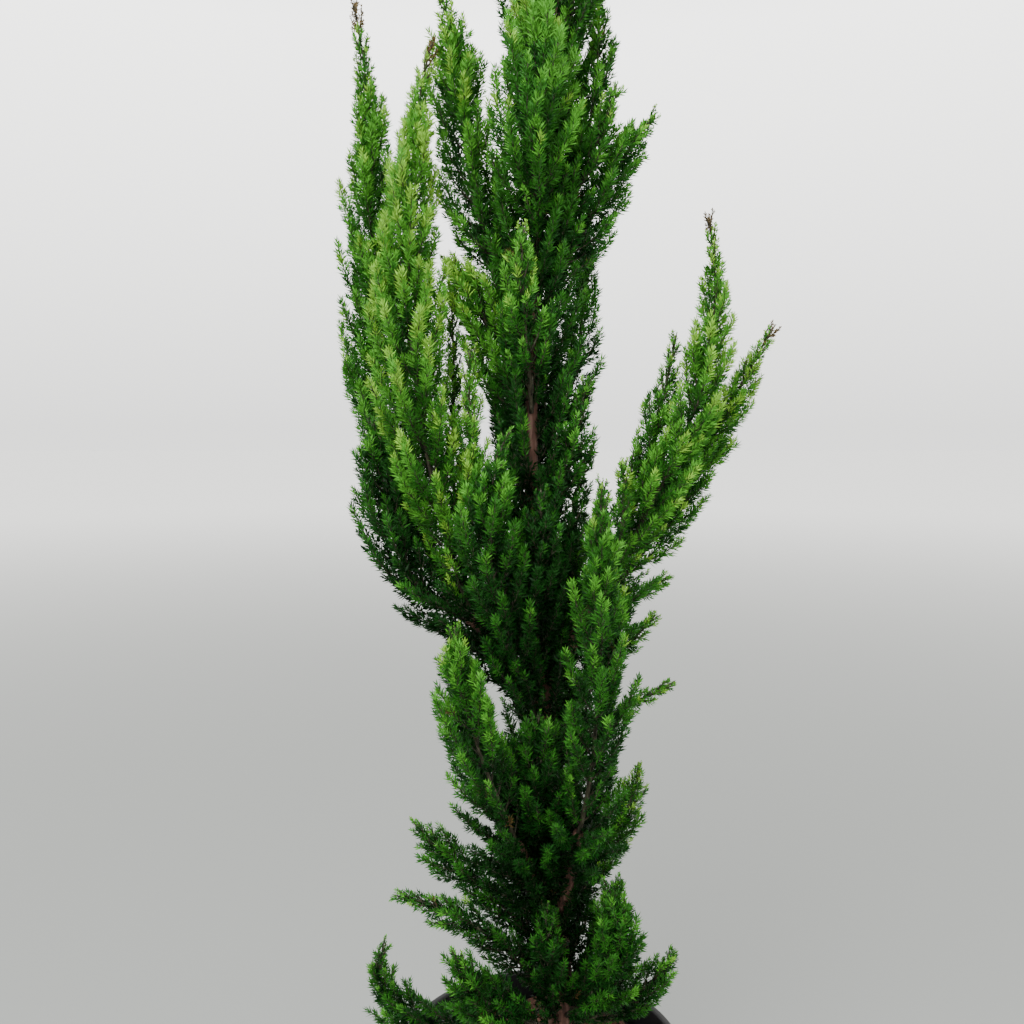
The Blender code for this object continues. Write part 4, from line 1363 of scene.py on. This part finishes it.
def make_floor(stage):
    """A wide floor that pales with the distance till it meets the backdrop. The paling is painted
    light: it makes the far floor, which the key light hardly reaches, as bright as the backdrop.
    """
    bm = bmesh.new()
    bmesh.ops.create_grid(bm, x_segments=1, y_segments=1, size=FLOOR_SIDE / 2)
    floor = link_bmesh("floor", bm, smooth=False)
    material, tree, shader = new_finish("pale_floor")
    away = add_node(tree, "ShaderNodeVectorMath", {0: object_place(tree)}, operation="LENGTH")
    span = {"Value": away.outputs["Value"], "From Min": FLOOR_NEAR, "From Max": FLOOR_FAR}
    painted_light_fade = add_node(tree, "ShaderNodeMapRange", span, interpolation_type="SMOOTHSTEP")
    tone = ramp(tree, painted_light_fade.outputs["Result"], ((0, stage.floor_colour), (1, stage.far_painted_light_colour)))
    feed(tree, shader, {"Base Color": tone, "Roughness": 1, "Specular IOR Level": 0})
    floor.data.materials.append(material)


def make_sky(stage):
    """A backdrop that brightens upwards, and lights the plant from above."""
    world = bpy.data.worlds.new("studio")
    world.use_nodes = True
    tree = world.node_tree
    place = add_node(tree, "ShaderNodeTexCoord", {})
    split = add_node(tree, "ShaderNodeSeparateXYZ", {"Vector": place.outputs["Generated"]})
    levels = ((SKY_LOW, stage.sky_low), (SKY_BRIGHT, 1), (SKY_DIM, stage.sky_top))
    level = ramp(tree, split.outputs["Z"], [(up, (bright,) * 3) for up, bright in levels])
    strength = calculated(tree, "MULTIPLY", level, stage.sky_strength)
    feed(tree, tree.nodes["Background"], {"Strength": strength, "Color": (*stage.sky_colour, 1)})
    bpy.context.scene.world = world


def make_key(power):
    """A soft light at the front left, above."""
    light = bpy.data.lights.new("key", "AREA")
    light.energy = power
    light.size = KEY_SIZE
    lamp = link_object("key", light)
    lamp.location = KEY_PLACE
    lamp.rotation_euler = (Vector(KEY_AIM) - Vector(KEY_PLACE)).to_track_quat("-Z", "Y").to_euler()


def make_stage(stage):
    make_floor(stage)
    make_sky(stage)
    make_key(stage.key_power)
    camera = bpy.data.cameras.new("camera")
    camera.lens = stage.lens
    camera.clip_start = NEAREST_SEEN
    view = link_object("camera", camera)
    view.location = stage.eye
    view.rotation_euler = (math.radians(90 - stage.tilt), 0, 0)
    bpy.context.scene.camera = view


def all_plumes():
    return [*PLUMES, *(plume for fill in FILLS for plume in fill_plumes(fill))]


class CYPRESS_OT_pot(bpy.types.Operator):
    """Make the black pot"""

    bl_idname = "cypress.pot"
    bl_label = "Pot"

    def execute(self, context):
        make_pot(plastic_finish("black_plastic", context.scene.cypress.colours.pot))
        return {"FINISHED"}


class CYPRESS_OT_mulch(bpy.types.Operator):
    """Fill the pot with potting mix under bark chips"""

    bl_idname = "cypress.mulch"
    bl_label = "Potting mix"

    def execute(self, context):
        settings = context.scene.cypress
        make_mulch(mulch_finish("potting_mix", settings.colours.mulch))
        make_chips(mulch_finish("bark_chips", settings.colours.chips), settings.seed)
        return {"FINISHED"}


class CYPRESS_OT_wood(bpy.types.Operator):
    """Make the trunk and the boughs with their bark"""

    bl_idname = "cypress.wood"
    bl_label = "Trunk and boughs"

    def execute(self, context):
        bark = bark_finish("furrowed_bark", context.scene.cypress.colours.bark, BARK_GRAIN)
        make_trunk(bark)
        make_boughs(bark, lay_out(all_plumes()))
        return {"FINISHED"}


class CYPRESS_OT_foliage(bpy.types.Operator):
    """Grow the plumes: twigs, shoots and needles"""

    bl_idname = "cypress.foliage"
    bl_label = "Foliage"

    def execute(self, context):
        plumes = all_plumes()
        make_foliage(context.scene.cypress, lay_out(plumes), plumes)
        return {"FINISHED"}


class CYPRESS_OT_stage(bpy.types.Operator):
    """Set the floor, the light and the camera"""

    bl_idname = "cypress.stage"
    bl_label = "Stage"

    def execute(self, context):
        make_stage(context.scene.cypress.stage)
        return {"FINISHED"}


OPERATORS = (CYPRESS_OT_stage, CYPRESS_OT_pot, CYPRESS_OT_mulch, CYPRESS_OT_wood, CYPRESS_OT_foliage)


class CYPRESS_PT_panel(bpy.types.Panel):
    """The plant's pieces and settings"""

    bl_label = "Cypress"
    bl_idname = "CYPRESS_PT_panel"
    bl_space_type = "VIEW_3D"
    bl_region_type = "UI"
    bl_category = "Cypress"

    def draw(self, context):
        settings = context.scene.cypress
        self.layout.prop(settings, "seed")
        for group in (settings.shape, settings.colours, settings.stage):
            box = self.layout.box()
            for name in group.bl_rna.properties.keys():
                if name not in {"rna_type", "name"}:
                    box.prop(group, name)
        for operator in OPERATORS:
            self.layout.operator(operator.bl_idname)


CLASSES = (CypressShape, CypressColours, CypressStage, CypressSettings, *OPERATORS, CYPRESS_PT_panel)


def register():
    for cls in CLASSES:
        bpy.utils.register_class(cls)
    bpy.types.Scene.cypress = PointerProperty(type=CypressSettings)


def unregister():
    del bpy.types.Scene.cypress
    for cls in reversed(CLASSES):
        bpy.utils.unregister_class(cls)


def main():
    register()
    bpy.ops.cypress.stage()
    bpy.ops.cypress.pot()
    bpy.ops.cypress.mulch()
    bpy.ops.cypress.wood()
    bpy.ops.cypress.foliage()


if __name__ == "__main__":
    main()
